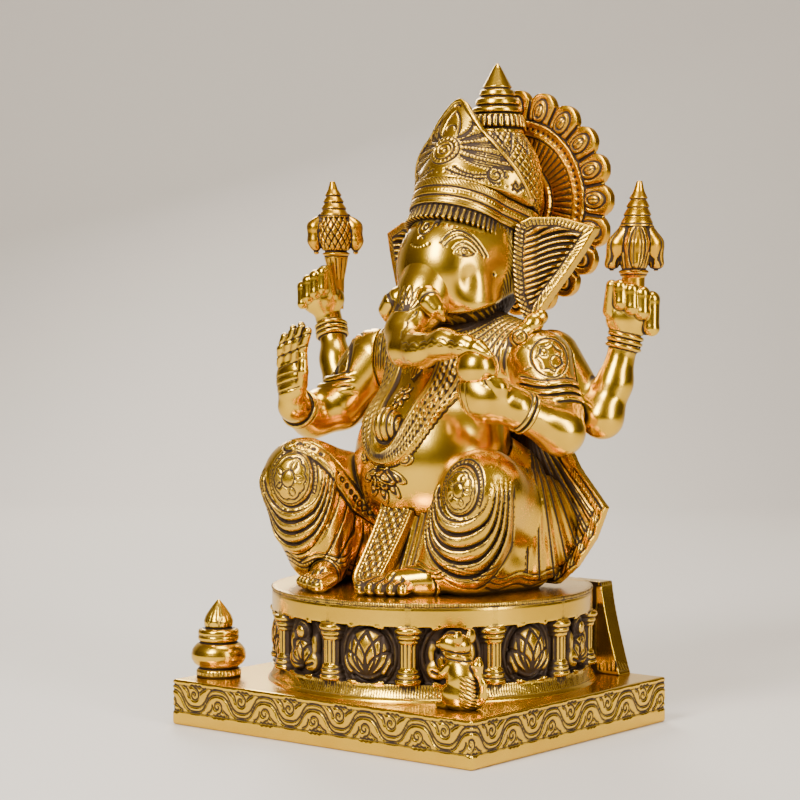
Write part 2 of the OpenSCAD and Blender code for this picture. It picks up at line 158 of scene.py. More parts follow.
def along_limb(p, run):
    """Distance travelled along a run of rods at the nearest point, and the angle about it."""
    best = np.full(len(p), 1e9, np.float32)
    way = np.zeros(len(p), np.float32)
    turn = np.zeros(len(p), np.float32)
    start = 0.0
    for (a, ra), (b, rb) in zip(run, run[1:]):
        a, b = np.asarray(a, float), np.asarray(b, float)
        axis = b - a
        size = np.linalg.norm(axis)
        d, t = link(p, a, b, ra, rb)
        side = np.cross(axis / size, (0, 0.3, 1.0))
        side /= np.linalg.norm(side)
        up = np.cross(side, axis / size)
        q = p - a.astype(np.float32)
        here = np.arctan2(q @ side.astype(np.float32), q @ up.astype(np.float32))
        near = d < best
        best = np.where(near, d, best)
        way = np.where(near, start + t * size, way)
        turn = np.where(near, here, turn)
        start += size
    return way, turn


def slab(value, low, high):
    """Distance outside low..high along one coordinate."""
    return np.maximum(low - value, value - high)


def block(p, low, high, edge=0.0):
    centre = (np.asarray(low) + np.asarray(high)) / 2
    half = (np.asarray(high) - np.asarray(low)) / 2 - edge
    q = np.abs(p - centre.astype(np.float32)) - half.astype(np.float32)
    outside = span(np.maximum(q, 0))
    return outside + np.minimum(q.max(-1), 0) - edge


def between(value, low, high):
    return (value > low) & (value < high)


def wave(value, period):
    """Distance to the nearest multiple of period."""
    return np.abs((value / period + 0.5) % 1 - 0.5) * period


class Skin:
    """A surface being worked: its distance field, and how much patina the tooling holds."""

    def __init__(self, d):
        self.d = d
        self.ink = np.zeros_like(d)

    def score(self, line, width=0.6, depth=0.6, where=None):
        """Cuts a groove where line, a distance along the surface, is near 0."""
        groove = unit(1 - (line / width) ** 2)
        if where is not None:
            groove = groove * where
        self.d = self.d + depth * groove
        self.stain(np.minimum(INK_GAIN * groove, 1))

    def cord(self, line, radius, sink=0.3, where=None):
        """Lays a round strand on the surface along line."""
        lift = radius if where is None else radius * where
        strand = np.sqrt(line * line + (self.d + sink) ** 2) - lift
        shade = unit(1 - (np.abs(line) - radius) / 0.5) * (np.abs(line) > radius * 0.8)
        if where is not None:
            shade = shade * where
        self.ink = np.maximum(self.ink * (np.abs(line) > radius), shade * 0.8)
        self.add(strand, 0.15)

    def beads(self, line, way, radius, period, sink=0.2, where=None):
        """Lays a string of beads on the surface along line."""
        lift = radius if where is None else radius * where
        step = wave(way, period)
        string = np.sqrt(line * line + step * step + (self.d + sink) ** 2) - lift
        near = unit(1.6 - np.abs(line) / radius)
        if where is not None:
            near = near * where
        hollow = unit(np.sqrt(line * line + step * step) / radius - 0.6)
        self.stain(near * hollow)
        self.add(string, 0.1)

    def swell(self, amount):
        self.d = self.d - amount

    def stain(self, ink):
        self.ink = np.maximum(self.ink, ink)

    def add(self, other, blend=0.0):
        self.d = union(self.d, other, blend)

    def carve(self, other, blend=0.0):
        self.d = cut(self.d, other, blend)

    def keep_raised(self, base):
        """Keeps only what stands out from the mass below it, as a shell."""
        self.d = np.maximum(self.d, -(base + 0.6))
        self.d = np.maximum(self.d, np.where(self.d - base > -0.05, 0.4, -FAR))

    def clear(self, *others):
        """Stops the surface a hair short of other masses."""
        for other in others:
            self.carve(other - HAIR)


def arc(cx, cy, radius, start, stop, n=24, squash=1.0):
    a = np.radians(np.linspace(start, stop, n))
    return np.stack([cx + radius * np.cos(a), cy + radius * squash * np.sin(a)], -1)


def curl(cx, cy, radius, start, turns, n=40):
    """A spiral from its rim in to its middle."""
    t = np.linspace(0, 1, n)
    a = np.radians(start) + 2 * PI * turns * t
    r = radius * (1 - 0.85 * t)
    return np.stack([cx + r * np.cos(a), cy + r * np.sin(a)], -1)


def bow(a, b, sag, n=14):
    """A shallow curve from a to b that bulges by sag to its left."""
    a, b = np.asarray(a, float), np.asarray(b, float)
    t = np.linspace(0, 1, n)[:, None]
    side = np.array([-(b - a)[1], (b - a)[0]]) / (np.linalg.norm(b - a) + 1e-9)
    return a + (b - a) * t + side * sag * 4 * t * (1 - t)


def leaf(a, b, width):
    """Two curves that enclose a leaf from a to b."""
    return [bow(a, b, width / 2), bow(a, b, -width / 2)]


def polygon(u, v, corners):
    """Distance to a closed outline in a plane, less than 0 inside it."""
    corners = np.asarray(corners, np.float32)
    best = np.full(len(u), 1e9, np.float32)
    inside = np.zeros(len(u), bool)
    for (ax, ay), (bx, by) in zip(corners, np.roll(corners, -1, 0)):
        ex, ey = bx - ax, by - ay
        wx, wy = u - ax, v - ay
        t = unit((wx * ex + wy * ey) / (ex * ex + ey * ey))
        best = np.minimum(best, (wx - ex * t) ** 2 + (wy - ey * t) ** 2)
        crosses = (v >= ay) != (v >= by)
        left = ex * wy > ey * wx
        inside ^= crosses & (left == (by > ay))
    return np.where(inside, -1, 1) * np.sqrt(best)


def through(a, middle, b, n=18):
    """A curve from a to b that passes through middle half way."""
    a, middle, b = (np.asarray(point, float) for point in (a, middle, b))
    control = 2 * middle - (a + b) / 2
    t = np.linspace(0, 1, n)[:, None]
    return a * (1 - t) ** 2 + 2 * control * t * (1 - t) + b * t * t


def ramp(value, low, high):
    """Rises smoothly from 0 at low to 1 at high."""
    t = unit((value - low) / (high - low))
    return t * t * (3 - 2 * t)


def mirrored(p, side):
    """The same points, seen from the other side of the figure where side is -1."""
    return p * np.array([side, 1, 1], np.float32)


def half_round(value):
    """A rounded crest: 1 where value is 0, falling to 0 where it reaches 1 or -1."""
    return np.sqrt(unit(1 - value**2))


def spokes(angle, count):
    """Distance, as an angle in turns of one gap, to the nearest of count spokes."""
    return wave(angle * count / (2 * PI), 1.0)


class Pattern:
    """Curves drawn in a plane, with the distance to the nearest and the way along it at any point."""

    def __init__(self, strokes, low, high, step=0.2):
        self.low = np.asarray(low, np.float32)
        self.step = step
        size = np.ceil((np.asarray(high) - low) / step).astype(int) + 1
        u, v = np.meshgrid(*(self.low[i] + step * np.arange(size[i]) for i in (0, 1)), indexing="ij")
        grid = np.stack([u.ravel(), v.ravel()], -1).astype(np.float32)
        best = np.full(len(grid), 1e9, np.float32)
        way = np.zeros(len(grid), np.float32)
        for stroke in strokes:
            run = 0.0
            low_s, high_s = stroke.min(0) - 4, stroke.max(0) + 4
            near = np.where(between(grid, low_s, high_s).all(1))[0]
            spot = grid[near]
            for a, b in zip(stroke[:-1], stroke[1:]):
                axis = (b - a).astype(np.float32)
                size_s = float(np.hypot(*axis)) + 1e-9
                t = unit((spot - a.astype(np.float32)) @ axis / size_s**2)
                d = span(spot - a.astype(np.float32) - t[:, None] * axis)
                closer = d < best[near]
                best[near[closer]] = d[closer]
                way[near[closer]] = run + t[closer] * size_s
                run += size_s
        self.best = np.minimum(best, 50).reshape(size)
        self.way = way.reshape(size)

    def _cell(self, u, v):
        q = (np.stack([u, v], -1) - self.low) / self.step
        top = np.array(self.best.shape, np.float32) - 1.001
        inside = ((q >= 0) & (q <= top)).all(-1)
        return np.clip(q, 0, top), inside

    def line(self, u, v):
        q, inside = self._cell(u, v)
        i = q.astype(np.int32)
        f = q - i
        x, y = i[:, 0], i[:, 1]
        b = self.best
        low = b[x, y] * (1 - f[:, 0]) + b[x + 1, y] * f[:, 0]
        high = b[x, y + 1] * (1 - f[:, 0]) + b[x + 1, y + 1] * f[:, 0]
        return np.where(inside, low * (1 - f[:, 1]) + high * f[:, 1], 50)

    def along(self, u, v):
        q, _ = self._cell(u, v)
        i = np.round(q).astype(np.int32)
        return self.way[i[:, 0], i[:, 1]]


# ---- Main masses, also used to shade where castings meet ----


def hip_mass(p):
    return union(egg(p, (0, 30, 22), (50, 34, 28)), egg(p, (0, 25, 42), (47, 30, 29)), 6)


def torso_mass(p):
    d = union(egg(p, (0, 10, 55), (37, 32, 37)), egg(p, (0, 26, 90), (35, 26, 27)), 10)
    return union(d, limb(p, [((-34, 30, 99), 16.5), ((0, 34, 105), 20), ((34, 30, 99), 16.5)]), 8)


def leg_mass(p, side):
    knee, ankle = np.array(KNEE[side], float), np.array(ANKLE[side], float)
    shin = (knee + ankle) / 2
    d = limb(p, [((side * 34, 34, 26), 24), (knee, 17), (shin + (side * 3, 2, -2), 15.5), (ankle, 8.5)], 7)
    low = link(p, (side * 40, 22, 11), shin + (side * 3, 4, -15), 13, 12)[0]
    return union(d, low, 7)


def foot_mass(p, side):
    ankle, toes = np.array(ANKLE[side], float), np.array(TOES[side], float)
    d = link(p, ankle + (0, -2, -2), toes + (0, 10, 1.4), 7, 5.6)[0]
    across = np.array([4.3 * side, 1.6 if side > 0 else 2.2, 0])
    for i in range(-2, 3):
        size = 3.5 if i == -2 else 2.9 - 0.1 * i
        root = toes + (0, 11, 1.6) + i * across * 0.75
        d = union(d, link(p, root, toes + (0, 0.6 + 0.5 * abs(i), -0.3) + i * across, 3.2, size)[0], 0.5)
    return d


def skull_mass(p):
    d = union(egg(p, (0, 36, 143), (27, 31, 31)), egg(p, (0, 14, 138), (19, 16, 22)), 12)
    for side in (-1, 1):
        d = union(d, egg(p, (side * 13.5, 21, 125), (12, 15, 12)), 6)
    return d


def trunk_mass(p):
    return limb(p, TRUNK, 4)


def in_crown(p):
    q = p - CROWN_BASE.astype(np.float32)
    s, c = np.sin(CROWN_LEAN), np.cos(CROWN_LEAN)
    return np.stack([q[:, 0], q[:, 1] * c - q[:, 2] * s, q[:, 1] * s + q[:, 2] * c], -1).astype(np.float32)


def crown_outline(q, grow=0.0):
    """Distance outside the crown's egg-shaped outline, in its own frame."""
    t = unit((q[:, 1] + 11) / 15)
    return np.hypot(q[:, 0], q[:, 1] + 11 - 15 * t) - (23 + 5 * t + grow)


def crown_arc(q):
    """Distance round the crown from its front."""
    return np.arctan2(q[:, 0], -(q[:, 1] + 3)) * 27


def band_mass(p):
    q = in_crown(p)
    return np.maximum(crown_outline(q), slab(q[:, 2], -7, BAND_H))


DOME_Y, DOME_Z, DOME_H = 44, 176, 34


def dome_mass(p):
    q = in_crown(p)
    return np.maximum(egg(p, (0, DOME_Y, DOME_Z), (30, 26, DOME_H)),
                      np.maximum(p[:, 2] - FINIAL[2], BAND_H - q[:, 2]))


def arm_base(run):
    return lambda p: limb(p, run, 4)


BASES = [hip_mass, torso_mass, skull_mass, trunk_mass, band_mass, dome_mass,
         lambda p: leg_mass(p, -1), lambda p: leg_mass(p, 1), lambda p: foot_mass(p, -1),
         lambda p: foot_mass(p, 1),
         arm_base(ARM_LF), arm_base(ARM_RF), arm_base(ARM_LR), arm_base(ARM_RR)]


# how far the painted shade between castings reaches, in mm
SHADE_REACHES = (1.8, 5.0)


def seat_shade(p, n):
    """Painted shade: how far neighbouring masses and the seat close in on each point, from 0 to 1."""
    total = np.zeros(len(p), np.float32)
    for reach in SHADE_REACHES:
        q = p + n * reach
        near = np.full(len(p), FAR, np.float32)
        for base in BASES:
            near = np.minimum(near, base(q))
        near = np.minimum(near, q[:, 2])
        total += unit(1 - near / reach) ** 1.5
    return total / len(SHADE_REACHES)


# ---- From field to mesh ----


def sample(grid, q):
    """Trilinear values of grid at fractional cells q."""
    i = np.clip(q.astype(np.int32), 0, np.array(grid.shape) - 2)
    f = q - i
    x, y, z = i[:, 0], i[:, 1], i[:, 2]
    fx, fy, fz = f[:, 0], f[:, 1], f[:, 2]
    total = 0
    for dx in (0, 1):
        for dy in (0, 1):
            for dz in (0, 1):
                weight = (fx if dx else 1 - fx) * (fy if dy else 1 - fy) * (fz if dz else 1 - fz)
                total = total + grid[x + dx, y + dy, z + dz] * weight
    return total


REACH = 3.0                             # how far from the surface the field is worked out
BLOCK = 8                               # cells on a side of the blocks that the field is worked out in
HALF_DIAGONAL = 0.9                     # of a block, in its sides, with a little over
SLICE = 1 << 17                         # points worked at once
BATCH = 512                             # blocks worked at once
HOLLOW_REACHES = (0.7, 1.4, 2.6)        # how far a hollow's far wall may stand off, in mm
BASE_REACH = 3                          # how far the plinth and pedestal shade what is near them, in mm


def worked(shape, p):
    """d and ink of a shape, in slices that fit the processor's cache."""
    parts = []
    for start in range(0, len(p), SLICE):
        skin = shape(p[start:start + SLICE])
        parts.append((skin.d, skin.ink))
    return (np.concatenate([part[k] for part in parts]).astype(np.float32) for k in (0, 1))


def field(shape, low, high, voxel):
    """A dense field, worked out only near the surface."""
    low, high = np.asarray(low, float) - 3 * voxel, np.asarray(high, float) + 3 * voxel
    size = voxel * BLOCK
    count = np.ceil((high - low) / size).astype(int)
    index = np.stack(np.meshgrid(*(np.arange(n) for n in count), indexing="ij"), -1).reshape(-1, 3)
    centres = (low + (index + 0.5) * size - voxel / 2).astype(np.float32)
    coarse = next(worked(shape, centres))
    near = np.abs(coarse) < size * HALF_DIAGONAL + REACH
    dense = np.where(coarse > 0, REACH, -REACH).astype(np.float32).reshape(count)
    dense = dense.repeat(BLOCK, 0).repeat(BLOCK, 1).repeat(BLOCK, 2)
    cells = np.stack(np.meshgrid(*(np.arange(BLOCK),) * 3, indexing="ij"), -1).reshape(-1, 3)
    view = dense.reshape(count[0], BLOCK, count[1], BLOCK, count[2], BLOCK)
    picked = index[near]
    for start in range(0, len(picked), BATCH):
        some = picked[start:start + BATCH]
        p = (low + (some[:, None, :] * BLOCK + cells[None]) * voxel).reshape(-1, 3).astype(np.float32)
        d, _ = worked(shape, p)
        d = np.clip(d, -REACH, REACH).reshape(-1, BLOCK, BLOCK, BLOCK)
        view[some[:, 0], :, some[:, 1], :, some[:, 2], :] = d
    return dense, low


def largest(faces, count):
    """Which vertices belong to bodies worth keeping: those over one part in 200 of all vertices."""
    label = np.arange(count)
    edges = np.concatenate([faces[:, [0, 1]], faces[:, [1, 2]], faces[:, [2, 3]]])
    while True:
        least = np.minimum(label[edges[:, 0]], label[edges[:, 1]])
        fresh = label.copy()
        np.minimum.at(fresh, edges[:, 0], least)
        np.minimum.at(fresh, edges[:, 1], least)
        fresh = fresh[fresh]
        if (fresh == label).all():
            break
        label = fresh
    sizes = np.bincount(label, minlength=count)
    return sizes[label] > max(60, count // 200)


def mesh_data(shape, low, high, voxel, place):
    """Vertices, faces, normals, and patina and painted shade of one casting, in metres."""
    voxel = voxel * 1
    dense, origin = field(shape, low, high, voxel)
    grid = openvdb.FloatGrid(REACH)
    grid.copyFromArray(dense)
    points, _, faces = grid.convertToPolygons(0.0, 0.0)
    keep = largest(faces, len(points))
    if not keep.all():
        renumber = np.cumsum(keep) - 1
        faces = renumber[faces[keep[faces].all(1)]]
        points = points[keep]
    cell = points.astype(np.float32)
    normals = np.stack([sample(dense, cell + step) - sample(dense, cell - step)
                        for step in np.eye(3, dtype=np.float32)], -1)
    normals /= span(normals)[:, None] + 1e-9
    p = (origin + cell * voxel).astype(np.float32)
    _, ink = worked(shape, p)
    # painted shade in hollows, standing also for the patina kept there: how closely the casting's own surface
    # shuts each point in
    hollow = 0
    for reach in HOLLOW_REACHES:
        gap = sample(dense, np.clip(cell + normals * (reach / voxel), 0, np.array(dense.shape) - 2.0))
        hollow = hollow + unit(1 - gap / reach) / len(HOLLOW_REACHES)
    # painted shade from nearby masses: the other castings and the seat for the figure, the plinth and
    # pedestal for the base
    shade = seat_shade(p, normals) if place is SEAT_PLACE else base_shade(p, normals)
    # patina from the tooling, patina and painted shade in hollows, painted shade where masses meet
    patina_and_shade = unit(np.stack([ink, hollow * 1.5, shade], -1))
    scale, shift = place
    return (p * scale + shift) * MM, faces, normals, patina_and_shade


def base_shade(p, n):
    """The same painted shade for the pieces that stand on the plinth."""
    q = p + n * BASE_REACH
    near = np.minimum(block(q, PLATE[0], PLATE[1]), drum_mass(q))
    return unit(1 - near / BASE_REACH) ** 1.5


SEAT_PLACE = (SCALE, SEAT)
WORLD_PLACE = (1.0, np.zeros(3))
jobs = []


def figure_cast(name, node, shape, voxel, material, slot="brass", grow=1.5):
    """Plans a casting of the figure. grow is how far past its CAD node's box it may reach."""
    low, high = box_mm(node)
    low, high = (low - SEAT) / SCALE - grow, (high - SEAT) / SCALE + grow
    jobs.append((name, node, slot, material, (shape, low, high, voxel, SEAT_PLACE)))


def base_cast(name, node, shape, voxel, material, slot="brass", grow=0.6):
    """Plans a casting of the base."""
    low, high = box_mm(node)
    jobs.append((name, node, slot, material, (shape, low - grow, high + grow, voxel, WORLD_PLACE)))


def make_piece(name, node, slot, material, data):
    points, faces, normals, patina_and_shade = data
    mesh = bpy.data.meshes.new(name)
    mesh.vertices.add(len(points))
    mesh.vertices.foreach_set("co", points.astype(np.float32).ravel())
    mesh.loops.add(faces.size)
    mesh.loops.foreach_set("vertex_index", faces.ravel().astype(np.int32))
    mesh.polygons.add(len(faces))
    mesh.polygons.foreach_set("loop_start", (np.arange(len(faces)) * 4).astype(np.int32))
    mesh.update(calc_edges=True)
    mesh.validate()
    mesh.polygons.foreach_set("use_smooth", np.ones(len(mesh.polygons), bool))
    mesh.normals_split_custom_set_from_vertices(normals[:len(mesh.vertices)])
    # amounts of patina and painted shade at each point, for the material
    layer = mesh.attributes.new("patina_and_shade", "FLOAT_VECTOR", "POINT")
    layer.data.foreach_set("vector", patina_and_shade.astype(np.float32).ravel())
    piece = bpy.data.objects.new(name, mesh)
    bpy.context.scene.collection.objects.link(piece)
    mesh.materials.append(material)
    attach(piece, "root")
    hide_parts(node)


# ---- Plinth and pedestal ----

DRUM_C = np.array([0.0, DRUM[0][1] + (DRUM[1][0] - DRUM[0][0]) / 2])
DRUM_R = (DRUM[1][0] - DRUM[0][0]) / 2 - 1
DRUM_BACK = DRUM[1][1]
RIM_H, FLUTE_H = 10.0, 7.0
FRIEZE_LOW = PLATE_Z + FLUTE_H
FRIEZE_HIGH = SEAT_Z - RIM_H
FRIEZE_TALL = FRIEZE_HIGH - FRIEZE_LOW
FRIEZE_MIDDLE = (FRIEZE_LOW + FRIEZE_HIGH) / 2
WALL_R = DRUM_R - 4.5                   # the wall behind the columns
COLUMNS_EACH_SIDE = 4                   # of the one in the middle
COLUMN_STEP = np.radians(30)


def drum_polar(p):
    x, y = p[:, 0] - DRUM_C[0], p[:, 1] - DRUM_C[1]
    return np.hypot(x, y), np.arctan2(x, -y)


def drum_mass(p):
    r, _ = drum_polar(p)
    side = np.maximum(r - DRUM_R, p[:, 1] - DRUM_BACK)
    return np.maximum(side, slab(p[:, 2], PLATE_Z - 1, SEAT_Z))


def scroll_strokes(period, count):
    """A running double wave with a spiral in every hollow and short leaves beside it."""
    strokes = []
    for i in range(-1, count + 1):
        start = i * period
        x = start + np.linspace(0, period, 60)
        height = 4.3 * np.tanh(1.5 * np.cos(2 * PI * (x - start) / period)) / np.tanh(1.5)
        for gap in (-1.1, 1.1):
            strokes.append(np.stack([x, height + gap], -1))
        for middle, way in ((start, -1), (start + period / 2, 1)):
            strokes.append(curl(middle - 0.4, way * 1.9, 3.1, 90 * way, -1.35 * way))
            strokes.append(through((middle - 3.4, way * 1.4), (middle - 4.4, way * 4.0),
                                   (middle - 6.6, way * 5.2)))
            strokes.append(through((middle + 3.2, way * 3.2), (middle + 4.6, way * 4.4),
                                   (middle + 6.4, way * 5.2)))
            for k in range(3):
                root = (middle - 2.6 + 2.3 * k, way * 5.6)
                strokes.append(bow(root, (root[0] + 1.7, way * 5.5), 0.5 * way))
    return strokes


SCROLL_PERIOD = 27.7
SCROLL_Z = 12.4
SCROLL = Pattern(scroll_strokes(SCROLL_PERIOD, 1), (0, -6.5), (SCROLL_PERIOD, 6.5), 0.12)


def plinth(p):
    skin = Skin(block(p, PLATE[0], PLATE[1], 1.2))
    x, y, z = p.T
    to_side = PLATE[1][0] - np.abs(x)
    to_face = PLATE[1][1] - np.abs(y)
    on_end = to_side < to_face
    u = np.where(on_end, y + PLATE[1][1], x + PLATE[1][0])
    deep = np.minimum(to_side, to_face)
    skin_deep = unit(1 - np.abs(deep) / 1.5) * (z < PLATE_Z - 0.7)
    skin.score(SCROLL.line(u % SCROLL_PERIOD, z - SCROLL_Z), 0.74, 0.8, skin_deep)
    for line in (PLATE_Z - 2.0, 6.4):
        skin.score(z - line, 0.35, 0.4, skin_deep)
    return skin


def drum(p):
    x, y, z = p.T
    r, a = drum_polar(p)
    way = a * DRUM_R
    back = y - DRUM_BACK
    rim = np.maximum(r - DRUM_R, slab(z, FRIEZE_HIGH, SEAT_Z))
    rim = union(rim, np.maximum(r - DRUM_R - 0.4, slab(z, SEAT_Z - 1.4, SEAT_Z - 0.1)), 0.3)
    d = union(rim, np.maximum(r - WALL_R, slab(z, PLATE_Z - 0.5, SEAT_Z - 2)), 0.4)
    cove = DRUM_R - 1 + 3.0 * unit(1 - (z - PLATE_Z) / FLUTE_H) ** 2
    foot = np.maximum(r - cove, slab(z, PLATE_Z - 0.5, FRIEZE_LOW))
    d = union(d, foot, 0.4)
    skin = Skin(np.maximum(d, back))
    skin.score(wave(way, 1.25), 0.36, 0.42, between(z, PLATE_Z + 1.8, FRIEZE_LOW - 0.5) & (r > WALL_R + 1))
    skin.score(z - (PLATE_Z + 1.6), 0.3, 0.4)
    skin.score(wave(way, 1.1), 0.35, 0.3, (z > SEAT_Z - 1.7) & (r > DRUM_R - 1.5))
    skin.score(z - (SEAT_Z - 1.9), 0.3, 0.35)
    skin.stain(((np.abs(a) < 2.3) & (r < DRUM_R - 1.0) & between(z, FRIEZE_LOW, FRIEZE_HIGH)) * 0.5)
    # arches over the panels between the columns
    panel = (a / COLUMN_STEP) % 1 - 0.5
    beside = panel * COLUMN_STEP * DRUM_R
    arch = np.hypot(beside, np.abs(z - FRIEZE_MIDDLE) * 0.95) - 12.8
    there = np.abs(a) < COLUMN_STEP * COLUMNS_EACH_SIDE
    skin.cord(np.abs(arch), 1.1, 0.0, there & between(z, FRIEZE_LOW, FRIEZE_HIGH) & (r < DRUM_R))
    # columns
    step = (a / COLUMN_STEP + 0.5) % 1 - 0.5
    across = step * COLUMN_STEP * r
    there = np.abs(np.round(a / COLUMN_STEP)) <= COLUMNS_EACH_SIDE
    dist = np.hypot(across, r - WALL_R - 0.6)
    shaft = np.maximum(dist - 4.2, slab(z, FRIEZE_LOW, FRIEZE_HIGH))
    flute = wave(np.arctan2(across, r - WALL_R) * 3.5, 1.55)
    shaft = shaft + 0.5 * unit(1 - (flute / 0.45) ** 2)
    skin.stain(between(dist, 3.2, 4.1) * there * 0.5)
    rings = np.full(len(p), FAR, np.float32)
    for height, radius, thick in ((0.05, 6.2, 1.3), (0.15, 5.6, 1.1), (0.23, 5.0, 0.8), (0.74, 4.9, 0.8),
                                  (0.82, 5.6, 1.1), (0.93, 6.4, 1.5)):
        z0 = FRIEZE_LOW + height * FRIEZE_TALL
        rings = np.minimum(rings, np.hypot(np.maximum(dist - radius + thick, 0), z - z0) - thick)
    column = np.where(there, np.minimum(shaft, rings), FAR)
    skin.ink = skin.ink * (column > 0.25)
    for height in (0.10, 0.19, 0.78, 0.87):
        skin.score(z - FRIEZE_LOW - height * FRIEZE_TALL, 0.4, 0.2, there & (column < 0.6))
    skin.score(flute, 0.45, 0.0,
               there & (column < 0.6) & between(z, FRIEZE_LOW + 7, FRIEZE_HIGH - 7.2))
    skin.add(column, 0.25)
    # rear corner posts, flaring towards their feet
    post_x = DRUM[1][0] * 0.79
    flare = 10.0 * unit(1 - (z - PLATE_Z) / (SEAT_Z - PLATE_Z)) ** 1.3
    outer = np.abs(x) - (post_x - 1.5 + flare)
    inner = 38.0 - np.abs(x)
    post = np.maximum(np.maximum(outer, inner), np.maximum(back, (DRUM_BACK - 9.5) - y))
    post = np.maximum(post, slab(z, PLATE_Z - 0.5, SEAT_Z))
    skin.add(post, 0.8)
    return skin


def relief_strokes(kind):
    """Leaves of a lotus bud, or a seated figure's folds, in a panel between two columns."""
    if kind == 0:
        strokes = leaf((0, -7.5), (0, 7.5), 7.5)
        for side in (-1, 1):
            strokes += leaf((0, -7.5), (side * 5.4, 6.0), 5.0) + leaf((0, -7.5), (side * 8.4, 1.0), 4.4)
        return strokes + [arc(0, -0.5, 9.6, 200, 340)]
    strokes = [arc(0, 5.8, 3.0, 0, 360), bow((-4.2, 2.2), (4.2, 2.2), 0.9),
               bow((-7.8, -5.6), (7.8, -5.6), -1.8)]
    return (strokes + leaf((-6.4, 1.8), (-1, -6.6), 3.8) + leaf((6.4, 1.8), (1, -6.6), 3.8)
            + leaf((0, 2), (0, -6), 4))


RELIEFS = [Pattern(relief_strokes(k), (-12, -12), (12, 12), 0.15) for k in (0, 1)]


def reliefs(p):
    r, a = drum_polar(p)
    number = np.floor(a / COLUMN_STEP)
    across = (a - (number + 0.5) * COLUMN_STEP) * DRUM_R
    there = (number >= -COLUMNS_EACH_SIDE) & (number < COLUMNS_EACH_SIDE)
    v = p[:, 2] - FRIEZE_MIDDLE
    out = r - WALL_R
    kind = (number.astype(int) % 2) == 0
    q = np.stack([across, v, out], -1)
    wide = np.stack([np.abs(across), v, out], -1)
    bud = union(egg(q, (0, 0, 0), (10.6, 11.4, 5.0)), egg(wide, (8.2, -3.6, 0), (3.8, 6.4, 3.8)), 0.6)
    figure = union(egg(wide, (5.8, -5.6, 0.4), (6.0, 5.2, 3.9)), egg(q, (0, 6.6, 1.0), (4.4, 4.8, 3.6)), 0.6)
    figure = union(figure, egg(q, (0, -0.6, 0.6), (5.8, 6.4, 4.0)), 0.6)
    figure = union(figure, egg(wide, (8.2, 1.2, 0.2), (2.8, 5.6, 3.0)), 0.4)
    d = np.where(there & (out > -2), np.where(kind, bud, figure), FAR)
    skin = Skin(np.maximum(d, -out - 1))
    skin.score(np.where(kind, RELIEFS[0].line(across / 1.2, v / 1.25),
                        RELIEFS[1].line(across / 1.1, v / 1.1)), 0.6, 0.9)
    skin.stain(unit(1 - out / 1.4))
    return skin


def turned(profile, p, axis):
    """Distance to a lathe-turned form: profile is a list of (height, radius), smoothly joined."""
    heights = np.array([h for h, _ in profile], np.float32)
    radii = np.array([r for _, r in profile], np.float32)
    r = np.hypot(p[:, 0] - axis[0], p[:, 1] - axis[1])
    z = p[:, 2] - axis[2]
    wall = np.interp(z, heights, radii)
    slope = np.interp(z, (heights[:-1] + heights[1:]) / 2, np.abs(np.diff(radii) / (np.diff(heights) + 1e-6)))
    return np.maximum((r - wall) / np.sqrt(1 + np.minimum(slope, 3) ** 2), slab(z, heights[0], heights[-1]))


POT = box_mm("water_pot")
POT_AXIS = np.array([(POT[0][0] + POT[1][0]) / 2, (POT[0][1] + POT[1][1]) / 2, POT[0][2]])
POT_K = (POT[1][2] - POT[0][2]) / 34


def water_pot(p):
    profile = [(0, 9.6), (0.8, 10), (2.6, 9.9), (3.5, 9.3), (4.0, 8.6), (4.5, 9.2), (6, 11), (8, 12.1),
               (10, 12.2),
               (12, 11.7), (13.6, 10.6), (14.8, 9.2), (15.4, 8.2), (16, 8.8), (17, 9.2), (18.4, 9.1),
               (19.6, 9.2),
               (20.6, 8.9), (21.3, 8.0), (21.8, 6.0), (22.6, 6.4), (24.4, 6.6), (27, 5.7), (30, 3.7),
               (32.6, 1.7),
               (34, 0.5)]
    skin = Skin(turned([(h * POT_K, r * POT_K) for h, r in profile], p, POT_AXIS))
    z = (p[:, 2] - POT_AXIS[2]) / POT_K
    a = np.arctan2(p[:, 0] - POT_AXIS[0], p[:, 1] - POT_AXIS[1])
    for height in (4.0, 15.3, 18.4, 21.6):
        skin.score(z - height, 0.45, 0.35)
    petal = np.abs(wave(a, PI / 4)) * 6
    skin.score(petal - 0.9 * unit((z - 22.5) / 3), 0.35, 0.3, between(z, 22.4, 31))
    skin.score(wave(a * 11, 2.4), 0.3, 0.25, between(z, 1, 3.2))
    return skin


MOUSE = box_mm("mouse")
MOUSE_AT = np.array([(MOUSE[0][0] + MOUSE[1][0]) / 2 - 0.7, (MOUSE[0][1] + MOUSE[1][1]) / 2, MOUSE[0][2]])
MOUSE_K = (MOUSE[1][2] - MOUSE[0][2]) / 32.4


